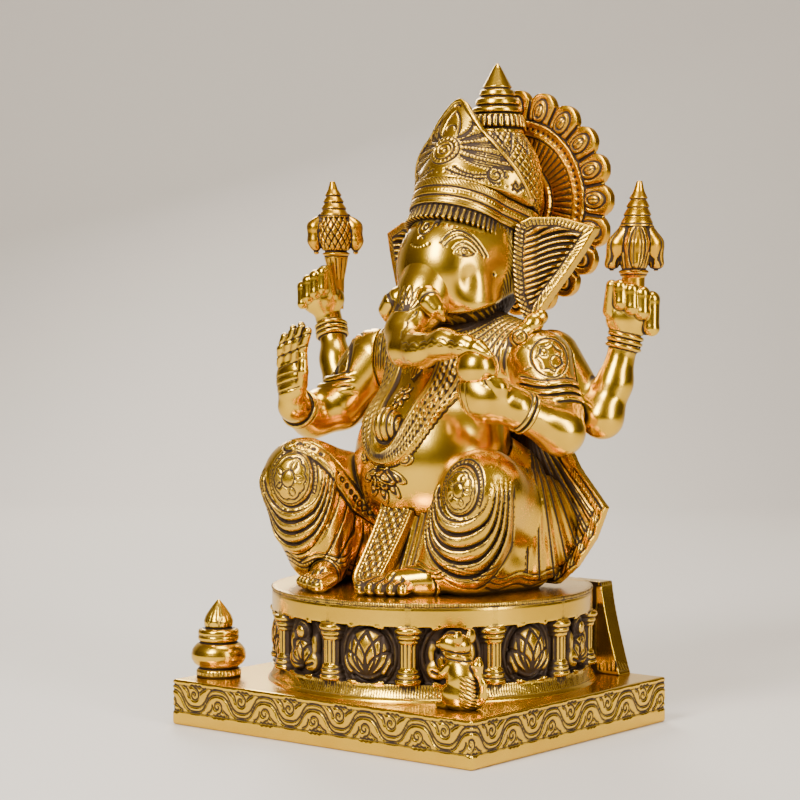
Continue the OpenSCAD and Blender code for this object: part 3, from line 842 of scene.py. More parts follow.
def mouse(p):
    q = (p - MOUSE_AT.astype(np.float32)) / MOUSE_K
    d = limb(q, [((1, 0, 5.5), 7.6), ((1, 0, 13), 6.4), ((-2.4, -0.6, 20), 4.6)], 4)
    d = union(d, limb(q, [((-1.5, 0, 25.4), 5), ((-5.6, -1.4, 26.2), 3.6), ((-9.6, -2.4, 25.6), 1.8)], 2),
              1.4)
    for side in (-1, 1):
        ear = egg(q, (1.2, 4.3 * side, 29.2), (1.3, 2.8, 3.1))
        d = union(d, cut(ear, egg(q, (0.1, 4.5 * side, 29.4), (1.2, 1.9, 2.2))), 0.5)
        haunch = egg(q, (-0.5, 4.6 * side, 6.0), (6.4, 3.6, 5.6))
        d = union(d, haunch, 0.7)
        d = union(d, link(q, (-4.0, 4.2 * side, 1.7), (-9.2, 3.6 * side, 1.3), 2.0, 1.5)[0], 0.6)
        arm = limb(q, [((-2.6, 3.8 * side, 18), 2.3), ((-6.4, 4.2 * side, 14.8), 1.9),
                       ((-9.2, 2.2 * side, 18.6), 1.5)], 1)
        d = union(d, arm, 0.6)
    tail = limb(q, [((7, 1.2, 2.4), 2.2), ((10.4, 0.4, 5.6), 1.7), ((11.2, -0.6, 11), 1.4),
                    ((9.6, -1.6, 15.4), 1.5),
                    ((9.2, -1.8, 18.6), 2.3), ((9.6, -1.4, 21), 1.2)], 1.2)
    d = union(d, tail, 0.5)
    skin = Skin(np.maximum(d, -q[:, 2]) * MOUSE_K)
    collar = np.hypot(q[:, 2] - 21.6 + 0.1 * q[:, 0], np.hypot(q[:, 0] + 2.0, q[:, 1]) - 4.4) - 1.2
    skin.add(collar * MOUSE_K, 0.3)
    skin.score(q[:, 2] - 20.2 + 0.1 * q[:, 0], 0.4, 0.5, (q[:, 2] > 16) & (q[:, 0] < 5))
    skin.score(q[:, 2] - 23.2 + 0.1 * q[:, 0], 0.4, 0.5, (q[:, 0] < 5))
    for side in (-1, 1):
        skin.score(span(q - np.array([-5.2, 3.1 * side, 27.4], np.float32)) - 0.9, 0.35, 0.4)
    skin.score(wave(q[:, 2] + 0.8 * q[:, 0], 1.7), 0.4, 0.35,
               (q[:, 0] > 4) & (q[:, 2] < 14) & (q[:, 0] < 8.5))
    return skin


# ---- Body ----

CURLS = Pattern([curl(9, 9, 6.5, 200, 1.3), curl(26, 20, 5.0, -20, -1.3), curl(28, 6, 3.6, 120, 1.2),
                 curl(8, 27, 4.0, 30, -1.2),
                 through((3, 3), (14, 15), (22, 27)), through((15, 3), (21, 12), (33, 15)),
                 bow((14, 22), (18, 31), 1.5),
                 bow((2, 17), (6, 22), -1.2), bow((33, 22), (36, 30), 1.2), bow((20, 12), (25, 14), -1.0)],
                (0, 0), (38, 34), 0.15)


PLEAT = 0.10                            # angle between the folds of the sash
WAIST_OUT = 48.5
WAIST_Z = 74


def sash_fan(p, side):
    """In the sash's fan: angle, way down from the waist, height of the pleat, and distance to a valley."""
    across = p[:, 0] * side * 0.78 + p[:, 1] * 0.63 - WAIST_OUT
    drop = WAIST_Z - p[:, 2]
    fan, reach = np.arctan2(across, drop), np.hypot(across, drop)
    pleat = wave(fan, PLEAT) / (PLEAT / 2)
    return fan, reach, pleat, (1 - pleat) * (PLEAT / 2) * reach


def hips(p):
    skin = Skin(np.maximum(cut(hip_mass(p), torso_mass(p) - 0.2), -p[:, 2]))
    x, y, z = p.T
    turn = np.arctan2(x, y - 25)
    round_way = turn * 44
    behind = ramp(y, 34, 40)
    crease = wave(round_way + 5 * np.sin(z / 11) + 0.25 * z, 8.5)
    skin.score(crease, 0.6, 0.5, ramp(z, 34, 40) * behind)
    skin.score(CURLS.line(np.abs(round_way) % 38, z - 7), 0.5, 0.5, (z > 8) * behind)
    # the sash comes forward over the hips in pleats
    for side in (-1, 1):
        fan, _, pleat, valley = sash_fan(p, side)
        on = ramp(fan, -0.04, 0.0) * (x * side > 20) * (1 - behind) * (z > 3)
        skin.swell(1.5 * pleat * on)
        skin.score(valley, 0.7, 0.4, on)
        skin.score(wave(fan, PLEAT) - 0.022, 0.012, 0.3, on)
    for level in (3.2, 6.6):
        skin.score(z - level - 0.8 * np.sin(turn * 9), 0.45, 0.45, y > 0)
    skin.score(np.hypot(wave(round_way, 3.4), z - 4.9 - 0.8 * np.sin(turn * 9)), 0.7, 0.5, y > 0)
    return skin


def flower(skin, radius, petals, u, v):
    """A raised rosette on a surface; u and v are surface coordinates about its middle."""
    rho = np.hypot(u, v)
    turn = np.arctan2(v, u)
    lobe = radius * (0.84 + 0.16 * np.cos(petals * turn))
    rise = unit(1 - (rho / lobe) ** 2)
    skin.ink = skin.ink * (rho > lobe)
    skin.swell(1.7 * np.sqrt(rise))
    skin.score(rho - lobe, 0.6, 0.4)
    skin.score(rho - radius * 0.40, 0.45, 0.6)
    spoke = wave(turn * petals / (2 * PI) + 0.5, 1.0) * 2 * PI * rho / petals
    skin.score(spoke, 0.4, 0.6, between(rho, radius * 0.42, lobe))


def torso(p):
    skin = Skin(torso_mass(p))
    x, y, z = p.T
    ring = np.hypot(x, (y - 30) * 1.05)
    over = ramp(z, 92, 98) * (y < 46) * (ring < 41)
    skin.swell(0.8 * ramp(-ring, -41, -39) * ramp(z, 90, 100) * ramp(-y, -50, -42))
    way = np.arctan2(x, -(y - 30)) * 28
    for k, rho in enumerate((40, 37.2, 34.4, 31.6, 28.8, 26.0, 23.2)):
        skin.score(ring - rho, 0.55, 0.7, over)
        skin.score(np.hypot(ring - rho + 1.4, wave(way + k, 1.8)), 0.75, 0.6, over)
    skin.stain(0.5 * over)
    # round bead and cylinder of a tassel on the left shoulder
    tassel = link(p, (43.0, 18.5, 112), (47.0, 25.5, 118.5), 3.7, 3.4)[0]
    collar = link(p, (45.0, 22.0, 115.2), (45.4, 22.7, 115.9), 4.4, 4.4)[0]
    bead = egg(p, (42.2, 16.4, 109.6), (4.6, 4.0, 4.7))
    knot = union(union(tassel, collar, 0.2), bead, 0.2)
    skin.ink = np.where(knot < skin.d + 0.3, 0, skin.ink)
    skin.stain((np.abs(knot) < 1.2) * (skin.d < 0.8) * 0.8 * (knot > 0.2))
    skin.add(knot, 0.2)
    rho = np.hypot((x - 42.2) * 0.78 + (y - 16.4) * 0.62, z - 109.6)
    skin.score(rho - 3.1, 0.45, 0.55, (bead < 1) * (y < 19))
    skin.score(rho - 1.0, 0.4, 0.5, (bead < 1) * (y < 19))
    # edge of the cloth below the belly
    level = z - (22.5 + 0.012 * x * x)
    low = (y < 24).astype(np.float32)
    skin.cord(level, 1.3, 0.2, low)
    skin.cord(level + 2.7, 0.9, 0.2, low)
    return skin


STRANDS = ((24.4, 53.6, 1.2, 2.0, True), (21.8, 52.4, 0.9, 0, False), (19.4, 51.2, 1.2, 2.1, True),
           (17.0, 50.0, 0.9, 0, False), (14.7, 48.8, 1.1, 1.9, True), (12.6, 47.6, 0.8, 0, False),
           (10.9, 46.5, 0.7, 0, False))

NECK_AT = (-1.5, 108.0)


def hang(x, z, half, depth):
    """Distance from, and way along, the U in which a strand of the necklace hangs."""
    u, v = (x - NECK_AT[0]) / half, (NECK_AT[1] - z) / depth
    ring = (np.abs(u) ** 2.3 + np.abs(np.maximum(v, 0)) ** 2.3) ** (1 / 2.3)
    return (ring - 1) * half * (0.9 + 0.5 * unit(v) ** 4), np.arctan2(u, v) * (half + depth) / 2


def necklaces(p):
    base = torso_mass(p)
    skin = Skin(base.copy())
    x, y, z = p.T
    front = (y < 18).astype(np.float32)
    apron = hang(x, z, 25.6, 54.6)[0]
    hole = hang(x, z, 9.8, 45.8)[0]
    skin.swell(0.9 * ramp(-apron, 0, 1.2) * ramp(hole, -1.0, 0.2) * front)
    for half, depth, radius, period, beaded in STRANDS:
        line, way = hang(x, z, half, depth)
        if beaded:
            skin.beads(line, way, radius, period, 0.0, front)
        else:
            skin.cord(line, radius, 0.1, front)
    skin.ink = 0.9 * (1 - ramp(base, 0.9, 1.6))
    # plates that hang inside the strands: a shield, a rosette and a ribbed melon
    inside = front * (hole < 0.5)
    skin.swell(1.5 * ramp(-(np.abs(x + 1) / 4.2 + np.abs(z - 95) / 5.2 - 1), 0, 0.25) * inside)
    skin.score(wave(x + 1, 1.6), 0.3, 0.35, inside * between(z, 90, 100))
    flower(skin, 4.8, 8, np.where(front > 0, (x + 1.7), 90), (z - 83.6) * 0.8)
    melon = egg(p, (-2.0, -19.4, 71.6), (7.6, 6.4, 7.8))
    rib = wave(np.arcsin(np.clip((x + 2.0) / 7.8, -1, 1)), 0.44) / 0.12
    groove = unit(1 - rib**2)
    skin.ink = np.where(melon < skin.d + 0.4, groove * 0.9, skin.ink)
    skin.add(melon + 0.6 * groove, 0.2)
    skin.keep_raised(base)
    return skin


def pendant(p):
    base = torso_mass(p)
    skin = Skin(base.copy())
    x, y, z = p.T
    front = y < 0
    u, v = np.where(front, x + 3.6, 90) / 1.2, (z - 52.6) / 1.15

    def petal(cx, cy, angle, long, wide, lift):
        along = np.radians(angle)
        s = (u - cx) * np.cos(along) + (v - cy) * np.sin(along)
        t = -(u - cx) * np.sin(along) + (v - cy) * np.cos(along)
        inside = np.hypot((s - long) / long, t / wide)
        skin.ink = skin.ink * (inside > 1)
        skin.swell(lift * half_round(inside))
        skin.score((inside - 1) * wide, 0.6, 0.6)
        skin.score((inside - 0.55) * wide, 0.42, 0.5)

    for angle in (-155, -122, -90, -58, -25):
        petal(0, 0, angle, 5.6 + 1.6 * abs(np.sin(np.radians(angle))), 2.6, 1.6)
    for angle in (-138, -106, -74, -42):
        petal(0, 0, angle, 4.4, 2.4, 1.9)
    for side in (-1, 1):
        petal(side * 2.0, 3.0, 90 - side * 68, 4.6, 2.8, 1.8)
        petal(side * 7.0, 3.6, 90 - side * 84, 3.6, 2.9, 1.7)
    flower(skin, 4.2, 6, u, v - 0.8)
    flower(skin, 3.2, 5, u, v - 6.4)
    skin.keep_raised(base)
    return skin


MEDALLION = {-1: (-42.0, 47.5, 9.4, 12.6), 1: (45.0, 46.0, 8.6, 10.8)}

SASH_EDGE = [(-47, -31, 61.5), (-40, -30, 61.5), (-34.5, -27, 57.2), (-28.8, -20.6, 47.4),
             (-26.2, -11.7, 36.3),
             (-22, 0, 28)]


def leg(side):
    knee, ankle = np.array(KNEE[side], float), np.array(ANKLE[side], float)
    cx, cz, wide, tall = MEDALLION[side]
    folds, spacing = (5, 6.1) if side > 0 else (4, 4.9)

    def shape(p):
        x, y, z = p.T
        d = leg_mass(p, side)
        d = cut(d, hip_mass(p) - 0.1)
        d = cut(d, torso_mass(p) + 0.6, 0.5)
        d = np.where(y < ankle[1] - 3, cut(d, foot_mass(p, side) - 0.5), d)
        skin = Skin(np.maximum(d, -z))
        u = np.abs(x - cx) + 0.5 * np.maximum(y - knee[1] + 12, 0)
        v = z - cz
        facing = ramp(-y, -18, -8)
        rho = np.hypot(u / wide, v / tall)
        # folds that hang round the shin below the knee
        level = np.hypot(u, v)
        for _ in range(5):
            level = np.hypot(u * level / (9.0 + 0.30 * level), v)
        number = (level - tall - 1.8) / spacing
        within = between(number, -0.02, folds)
        below = ramp(-v, -6, 3) * facing * within
        phase = number % 1
        skin.swell(2.0 * half_round(2 * phase - 0.85) * below)
        edge = np.minimum(phase, 1 - phase) * spacing
        skin.score(edge, 1.0, 0.8, below)
        skin.score((phase - 0.30) * spacing, 0.32, 0.35, below)
        rest = ramp(number, folds, folds + 0.6) * facing * ramp(-v, 0, 8) * (side < 0)
        skin.score(wave(level + 3 * np.sin(u * 0.16), 9.5), 0.7, 0.7, rest)
        # oval medallion with a flower and scallops
        cap = facing * (rho < 1.3)
        skin.swell(0.7 * ramp(-rho, -1.0, -0.9) * facing)
        skin.score((rho - 1.0) * wide, 0.6, 0.7, cap)
        skin.score((rho - 0.88) * wide, 0.38, 0.45, cap)
        turn = np.arctan2(v, x - cx)
        scallop = 0.70 + 0.06 * np.abs(np.cos(turn * 5))
        skin.score((rho - scallop) * wide, 0.45, 0.55, cap)
        skin.score((rho - 0.30) * wide, 0.45, 0.55, cap)
        petal = spokes(turn, 5) * 2 * PI * rho * wide / 5
        open_petal = petal - 1.0 * np.sin(PI * unit((rho - 0.3) / 0.4))
        skin.score(open_petal, 0.42, 0.5, cap * between(rho, 0.32, 0.66))
        skin.score((rho - 1.18) * wide, 0.42, 0.5, facing * (v > -7))
        skin.score(np.hypot((rho - 1.09) * wide, wave(turn * 11, 1.7)), 0.55, 0.45, facing * (v > -7))
        outer = (x * side > 38) & (y > knee[1] + 14)
        fan, reach, pleat, valley = sash_fan(p, side)
        pleated = ramp(fan, -0.03, 0.01) * (y > knee[1] + 20) * (z > 4)
        skin.swell(1.3 * pleat * pleated)
        skin.score(valley, 0.8, 0.5, pleated)
        if side > 0:
            # beaded border in front of the pleats
            ahead = -fan * reach
            border = outer & (y > knee[1] + 20) & (z > 8)
            skin.score(ahead - 2.2, 0.45, 0.5, border)
            skin.score(ahead - 5.6, 0.45, 0.5, border)
            skin.score(np.hypot(ahead - 3.9, wave(reach, 2.8)) - 0.9, 0.35, 0.45,
                       border & (np.abs(ahead - 3.9) < 1.5))
        else:
            # engraved curls on the outer thigh
            skin.score(CURLS.line((y + 40) % 38, z - 8), 0.5, 0.5,
                       outer * (number > folds + 0.4) * (1 - pleated))
            # hem of the sash that crosses the thigh
            path = [(point, 0.0) for point in SASH_EDGE]
            away = limb(p, path, 0.1)
            way = along_limb(p, path)[0]
            band = ramp(-away, -4.4, -3.6)
            skin.ink = skin.ink * (1 - band)
            skin.swell(1.1 * band)
            skin.score(away - 4.3, 0.6, 0.6)
            skin.score(away - 3.2, 0.35, 0.4)
            skin.score(np.hypot(wave(way, 3.6), away) - 1.5, 0.4, 0.5, away < 3)
        hem = z - 9 - 0.10 * (y + 20) ** 2 * (y > -20) * 0.2 - 1.4 * np.sin(x * 0.35)
        for gap in (0, 2.0, 4.0):
            skin.score(hem - gap, 0.45, 0.5, y < ankle[1] + 12)
        skin.score(np.hypot(hem - 1.0, wave(x + y, 1.6)), 0.45, 0.4, y < ankle[1] + 12)
        for k in range(3):
            skin.score(z - 3.0 - 2.6 * k - 1.0 * np.sin(y * 0.3), 0.4, 0.4, (y > -14) * (x * side > 30))
        return skin

    return shape


def foot(side):
    ankle = np.array(ANKLE[side], float)
    toes = np.array(TOES[side], float)
    across = np.array([4.3 * side, 1.6 if side > 0 else 2.2, 0])

    def shape(p):
        d = foot_mass(p, side)
        d = np.where(p[:, 1] >= ankle[1] - 3, cut(d, leg_mass(p, side) - 0.2), d)
        skin = Skin(np.maximum(d, -p[:, 2]))
        for i in range(-2, 3):
            tip = (toes + (0, -0.8 + 0.5 * abs(i), 1.2) + i * across).astype(np.float32)
            skin.score(span(p - tip) - 1.7, 0.4, 0.45, p[:, 2] > toes[2] + 1.0)
            if i < 2:
                gap = (p[:, 0] - toes[0] - (i + 0.5) * across[0]) * 0.93
                skin.score(gap, 0.7, 0.4, (p[:, 1] < toes[1] + 8) * (p[:, 2] > 2))
        anklet = (p - ankle.astype(np.float32)) @ np.array([0, -0.85, -0.3], np.float32)
        for offset in (1.6, 3.8):
            skin.cord(anklet - offset, 1.0)
            skin.score(np.abs(anklet - offset) - 1.2, 0.4, 0.3)
        return skin

    return shape


def front_sash(p):
    x, y, z = p.T
    t = unit((36 - z) / 34)
    mid = 1.0 - 7.5 * t
    half = 8.6 - 1.2 * t
    face = -17 - 15.0 * t ** 1.2
    body = np.maximum(np.abs(x - mid) - half, slab(z + 0.3 * (x - mid), 0.8, 37))
    body = np.maximum(body, np.hypot(x - mid, np.minimum(z - 9, 0)) - half)
    body = np.maximum(body, np.maximum(face - y, y - face - 12))
    lining = -13.0 - 9.0 * t ** 1.3
    pleat = wave(x - 0.12 * z, 3.4) / 1.7
    cloth = np.maximum(slab(x, mid, 34), slab(z, 0.8, 36))
    cloth = np.maximum(cloth, np.maximum((lining - 1.4 * pleat - y) * 0.8, y - lining - 10))
    skin = Skin(body - 0.5)
    u = x - mid
    edge = half - np.hypot(u, np.minimum(z - 9, 0))
    for inset in (1.2, 3.2):
        skin.score(edge - inset, 0.42, 0.5)
    skin.score(np.hypot(edge - 2.2, wave(z + 0.4 * x, 1.7)), 0.6, 0.45)
    for lean in (1, -1):
        skin.score(wave(u + lean * z * 0.9, 4.2) * 0.74, 0.4, 0.5, edge > 3.4)
        skin.score(wave(u + lean * z * 0.9 + 0.9, 4.2) * 0.74, 0.28, 0.35, edge > 3.4)
    skin.ink = np.where(cloth < skin.d, (1 - pleat) ** 2 * 0.7, skin.ink)
    skin.add(cloth, 0.3)
    skin.clear(torso_mass(p), hip_mass(p))
    for side in (-1, 1):
        skin.clear(leg_mass(p, side), foot_mass(p, side))
    return skin


TAIL = [(12, 50), (14, 70), (34, 75), (46, 68), (56, 52), (71.5, 35.5), (67, 22), (59, 9.5), (50, 1.5),
        (20, 1.5)]


def sash_tail(side):
    def shape(p):
        q = mirrored(p, side)
        x, y, z = q.T
        outline = polygon(x, z, TAIL)
        fan, reach, pleat, valley = sash_fan(q, 1)
        sheet = 36.0 + (z - 4) * 0.13 + 0.05 * (x - 46)
        d = np.maximum(outline, np.maximum((sheet - 1.4 - 1.3 * pleat - y) * 0.85, y - sheet - 1.2))
        skin = Skin(d - 0.3)
        skin.clear(hip_mass(p), torso_mass(p), leg_mass(p, -1), leg_mass(p, 1))
        rim = -outline
        ahead = y < sheet + 0.5
        inner = ahead & (rim > 5.0)
        skin.score(valley, 0.7, 0.5, inner)
        skin.score(wave(fan, PLEAT) - 0.022, 0.012, 0.3, inner)
        skin.score(rim - 1.2, 0.4, 0.45, z < 52)
        skin.score(rim - 4.8, 0.45, 0.5, z < 52)
        skin.score(wave(reach * fan + reach * 0.3, 1.5), 0.3, 0.35, between(rim, 1.4, 4.6) & (z < 52))
        for k in (0, 1.7):
            skin.score(rim - 9.0 - k, 0.36, 0.45, (pleat > 0.3) & (z < 48))
        return skin

    return shape


# ---- Head ----

BROW = Pattern([through((-9.6, 3.4), (0.4, 8.6), (11.0, -2.6)),
                through((-8.4, 1.9), (0.4, 6.3), (8.9, -2.6))],
               (-13, -6), (14, 11), 0.1)
EYE = Pattern([through((-4.3, -1.1), (-0.2, 1.5), (4.7, -1.5)),
               through((-4.3, -1.1), (0.0, -2.4), (4.7, -1.5)),
               through((-4.6, 0.8), (0, 3.4), (5.6, -0.4)), arc(0.0, -0.4, 1.35, 0, 360)], (-8, -5), (8, 5),
              0.08)
TILAK = Pattern([arc(0, 158.4, 3.6, 180, 360), arc(-4.6, 159.2, 1.1, -30, 210, 12),
                 arc(4.6, 159.2, 1.1, -30, 210, 12),
                 arc(0, 158.2, 1.3, 0, 360, 14), arc(0, 152.4, 1.4, 20, 160, 8)], (-9, 145), (9, 165), 0.12)
FAN = Pattern([piece for k in range(5) for piece in leaf((2.6, 121),
                                                         (2.6 + 9 * np.cos(np.radians(150 - 27 * k)),
               121 + 11 * np.sin(np.radians(150 - 27 * k))), 3.6)], (-14, 112), (20, 140), 0.12)


def head(p):
    skin = Skin(skull_mass(p))
    x, y, z = p.T
    ax = np.abs(x)
    # the neck runs in below the cheek
    under = ramp(-(z - 0.30 * (y - 10)), -121.5, -118.5) * ramp(ax, 8, 12)
    skin.swell(-1.8 * under)
    skin.score(wave(z * 0.9 + 0.5 * y, 2.3), 0.7, 0.8, under)
    face = (y < 27) * (1 - under)
    u = (ax - 18.2) * 0.57 + (y - 8.3) * 0.82
    v = z - 147.4
    almond = np.hypot(u / 4.6, (v + 0.5) / 1.9)
    skin.swell(0.5 * ramp(-almond, -1.0, 0.0) * face)
    skin.score(BROW.line(u, v), 0.46, 0.6, face)
    skin.score(EYE.line(u, v), 0.4, 0.5, face)
    skin.score(np.hypot(u, v + 0.4), 0.6, 0.4, face)
    skin.score(TILAK.line(x, z), 0.55, 0.7, face)
    for k in range(-3, 4):
        skin.score(np.hypot(x - 1.6 * k, z - 149.0 - 0.14 * k * k), 0.65, 0.6, face)
    skin.score(FAN.line(ax, z), 0.36, 0.45, face * (y < 4))
    skin.score(np.hypot(y - 22, z - 137), 1.0, 0.9, ax > 20)
    # a soft hollow below the eye
    skin.swell(-1.1 * np.exp(-((u - 2) / 3.6) ** 2 - ((v + 13) / 6.5) ** 2) * face)
    # hair between the face and the ear
    hair = ramp(y - 0.15 * (z - 140), 28, 30)
    skin.score(wave(z * 0.8 + y * 1.1 + np.sin(z * 0.4), 2.1), 0.5, 0.5, hair * (z < 160))
    skin.stain(hair * 0.6)
    skin.clear(torso_mass(p))
    q = in_crown(p)
    inside_crown = np.maximum(crown_outline(q, -2.2), -3 - q[:, 2])
    skin.carve(inside_crown)
    return skin


def trunk(p):
    skin = Skin(union(trunk_mass(p) + 0.5, link(p, (0, 14, 140), (0, 6, 130), 13.5, 13)[0], 4))
    x, y, z = p.T
    lip = link(p, (49, -22, 105), (55.2, -22.6, 102.6), 4.2, 1.5)[0]
    skin.add(lip, 1.4)
    skin.score(FAN.line(np.abs(x), z), 0.36, 0.45, (y < 2) & (z > 117))
    # a scalloped line runs down the trunk and along its front
    upright = x - np.interp(z, [104, 110, 118, 126], [10, 6.5, 5.5, 9]) - 0.9 * np.abs(np.sin(z * 0.7))
    skin.score(upright, 0.36, 0.3, (y < -4) & between(z, 109, 121))
    level = z - np.interp(x, [6, 12, 20, 30, 40, 48], [108.5, 106.4, 106.4, 108.4, 107.2,
                                                       105.0]) - 1.2 * np.abs(np.sin(x * 0.62))
    along = between(x, 9, 44) & (y < -16)
    skin.score(level, 0.36, 0.3, along)
    skin.score(level + 2.6, 0.3, 0.25, along & (np.abs(np.sin(x * 0.62)) > 0.6))
    skin.clear(torso_mass(p))
    skin.carve(ball(p, SWEET_AT, 9.1))
    return skin


def tusk(side):
    def shape(p):
        q = mirrored(p, side)
        run = [((6, -2.5, 127.4), 4.4), ((10.4, -5.6, 124.8), 4.3), ((13.8, -5.4, 121.4), 3.3),
               ((16.0, -3.6, 117.4), 1.2)]
        collar = limb(q, [((6.8, -3.0, 127.0), 5.7), ((8.2, -4.2, 126.2), 5.5)], 1)
        skin = Skin(union(limb(q, run, 3), collar, 0.3))
        skin.score(collar - 0.3, 0.5, 0.3, limb(q, run, 3) < 0.3)
        return skin

    return shape


EAR = [(27.5, 159), (33, 162), (44, 162), (58.5, 157.5), (54.5, 149), (48.5, 138), (42.5, 128),
       (37.5, 118.5), (33, 118.5),
       (29.5, 128), (27.5, 143)]

EAR_EDGE = [((28.5, 36.5, 158), 2.3), ((27.4, 34.4, 143), 2.3), ((30, 33, 128), 2.2),
            ((34.6, 34.6, 118.4), 2.2)]


def ear(side):
    def shape(p):
        q = mirrored(p, side)
        x, y, z = q.T
        outline = polygon(x, z, EAR)
        rim = -outline
        dish = 4.2 * ramp(rim, 3.0, 8.0)
        sheet = 36.8 + 0.50 * (x - 28) - 0.12 * (160 - z)
        front = sheet - 2.0 + dish
        d = np.maximum(outline, np.maximum(front - y, y - sheet - 1.8 - 0.6 * dish) * 0.8)
        skin = Skin(d - 0.5)
        ahead = y < sheet + dish * 0.5 + 0.4
        within = ramp(rim, 3.2, 4.4) * ahead
        rib = wave(z - 0.32 * (x - 28) + 0.022 * (x - 40) ** 2, 2.7)
        skin.swell(0.9 * unit(1 - (rib - 1.35) ** 2 / 1.0) * within)
        skin.score(rib, 0.75, 0.8, within)
        skin.stain(within * unit(1.2 - rib))
        skin.score(rim - 3.3, 0.5, 0.6, ahead)
        turn = np.arctan2(z - 143, x - 40)
        skin.score(wave(turn * 18, 1.5), 0.34, 0.4, ahead * between(rim, 0.5, 3.0))
        edge = limb(q, EAR_EDGE, 0.5)
        skin.add(edge, 0.3)
        skin.score(wave(z + 0.5 * x, 2.0), 0.45, 0.6, edge < 0.8)
        skin.carve(skull_mass(p) + 0.4)
        skin.clear(torso_mass(p))
        return skin

    return shape


# ---- Crown ----

ROLL_H = 4.33                           # height of each of the band's three rolls


def crown_band(p):
    q = in_crown(p)
    h = q[:, 2]
    way = crown_arc(q)
    outer = crown_outline(q)
    mould = 0.6 * np.abs(np.sin(PI * h / ROLL_H)) ** 0.6
    d = np.maximum(outer + 0.6 - mould, slab(h, 0, BAND_H))
    pleat = wave(way, 2.5)
    hem = -6.6 + 1.9 * (pleat / 1.25) ** 3
    flare = -0.9 - 0.20 * h
    fringe = crown_outline(q) - flare + 1.0 * unit(1 - (1.25 - pleat) / 0.7)
    fringe = np.maximum(np.maximum(fringe, hem - h), np.maximum(h - 1, -crown_outline(q, -5.5)))
    skin = Skin(union(d, fringe, 0.2))
    for k in range(4):
        skin.score(h - ROLL_H * k, 0.55, 0.55)
    skin.score(h - 2.2, 0.3, 0.3)
    skin.score(np.hypot(wave(way, 1.6), h - 6.5), 0.42, 0.4)
    skin.score(1.25 - pleat, 0.6, 0.4, h < -0.4)
    skin.score(pleat - 0.35, 0.22, 0.25, (h < -1.0) & (h > -5))
    skin.score(wave(way + h, 1.5), 0.34, 0.35, np.abs(h - 10.9) < 1.4)
    skin.d = np.maximum(skin.d, -crown_outline(q, -9))
    return skin


ROUNDEL_H = 26                          # middle of the roundel on the crown's plate
PLUMES = []
for start, bend, end in ((62, (8.6, 36.5), (9.0, 44.0)), (44, (12.6, 34.6), (15.8, 37.2)),
                         (26, (16.0, 31.0), (22.4, 31.6)),
                         (8, (17.6, 26.4), (28.0, 26.6)), (-12, (17.0, 22.2), (31.0, 23.6))):
    root = (7.4 * np.cos(np.radians(start)), ROUNDEL_H + 7.4 * np.sin(np.radians(start)))
    for gap in (-1.1, 0.0, 1.1):
        PLUMES.append(through(root, (bend[0], bend[1] + gap), (end[0], end[1] + gap * 0.5)))
SCROLLS = [curl(24.5, 18.6, 3.4, 150, 1.1), arc(24.5, 18.6, 3.6, 10, 300),
           through((21, 18), (13, 16.0), (6.4, 18.4)),
           through((21, 16.4), (13, 14.4), (3, 16.8)), curl(34, 17.0, 2.4, 20, -1.0),
           through((36.4, 17), (39, 19), (38, 21))]
TIARA = Pattern(PLUMES + SCROLLS, (0, 8), (48, 56), 0.12)
TIARA_ROUND = Pattern([arc(0, ROUNDEL_H, 6.9, 0, 360, 40), arc(0, ROUNDEL_H, 4.6, 0, 360, 32),
                       curl(0, ROUNDEL_H, 3.3, 0, 1.4)]
                      + [through((side * 4.2, 34.5), (side * 3.2, 41.0), (0, 46)) for side in (-1, 1)]
                      + [arc(0, 36.6, 2.4, 0, 180, 16), bow((-1.2, 48.5), (1.2, 48.5), 0.8)],
                      (-9, 14), (9, 52), 0.12)


TIARA_EDGE = ([8, 13, 17, 23, 29, 38, 46, 50, 52.5], [50, 46, 41, 34, 26.5, 15.5, 8.0, 4.6, 0.6])


def tiara_outline(aw, h):
    """Distance outside the pointed plate's outline, for |arc| and height."""
    return np.maximum((aw - np.interp(h, *TIARA_EDGE)) * 0.76, h - 52.4)


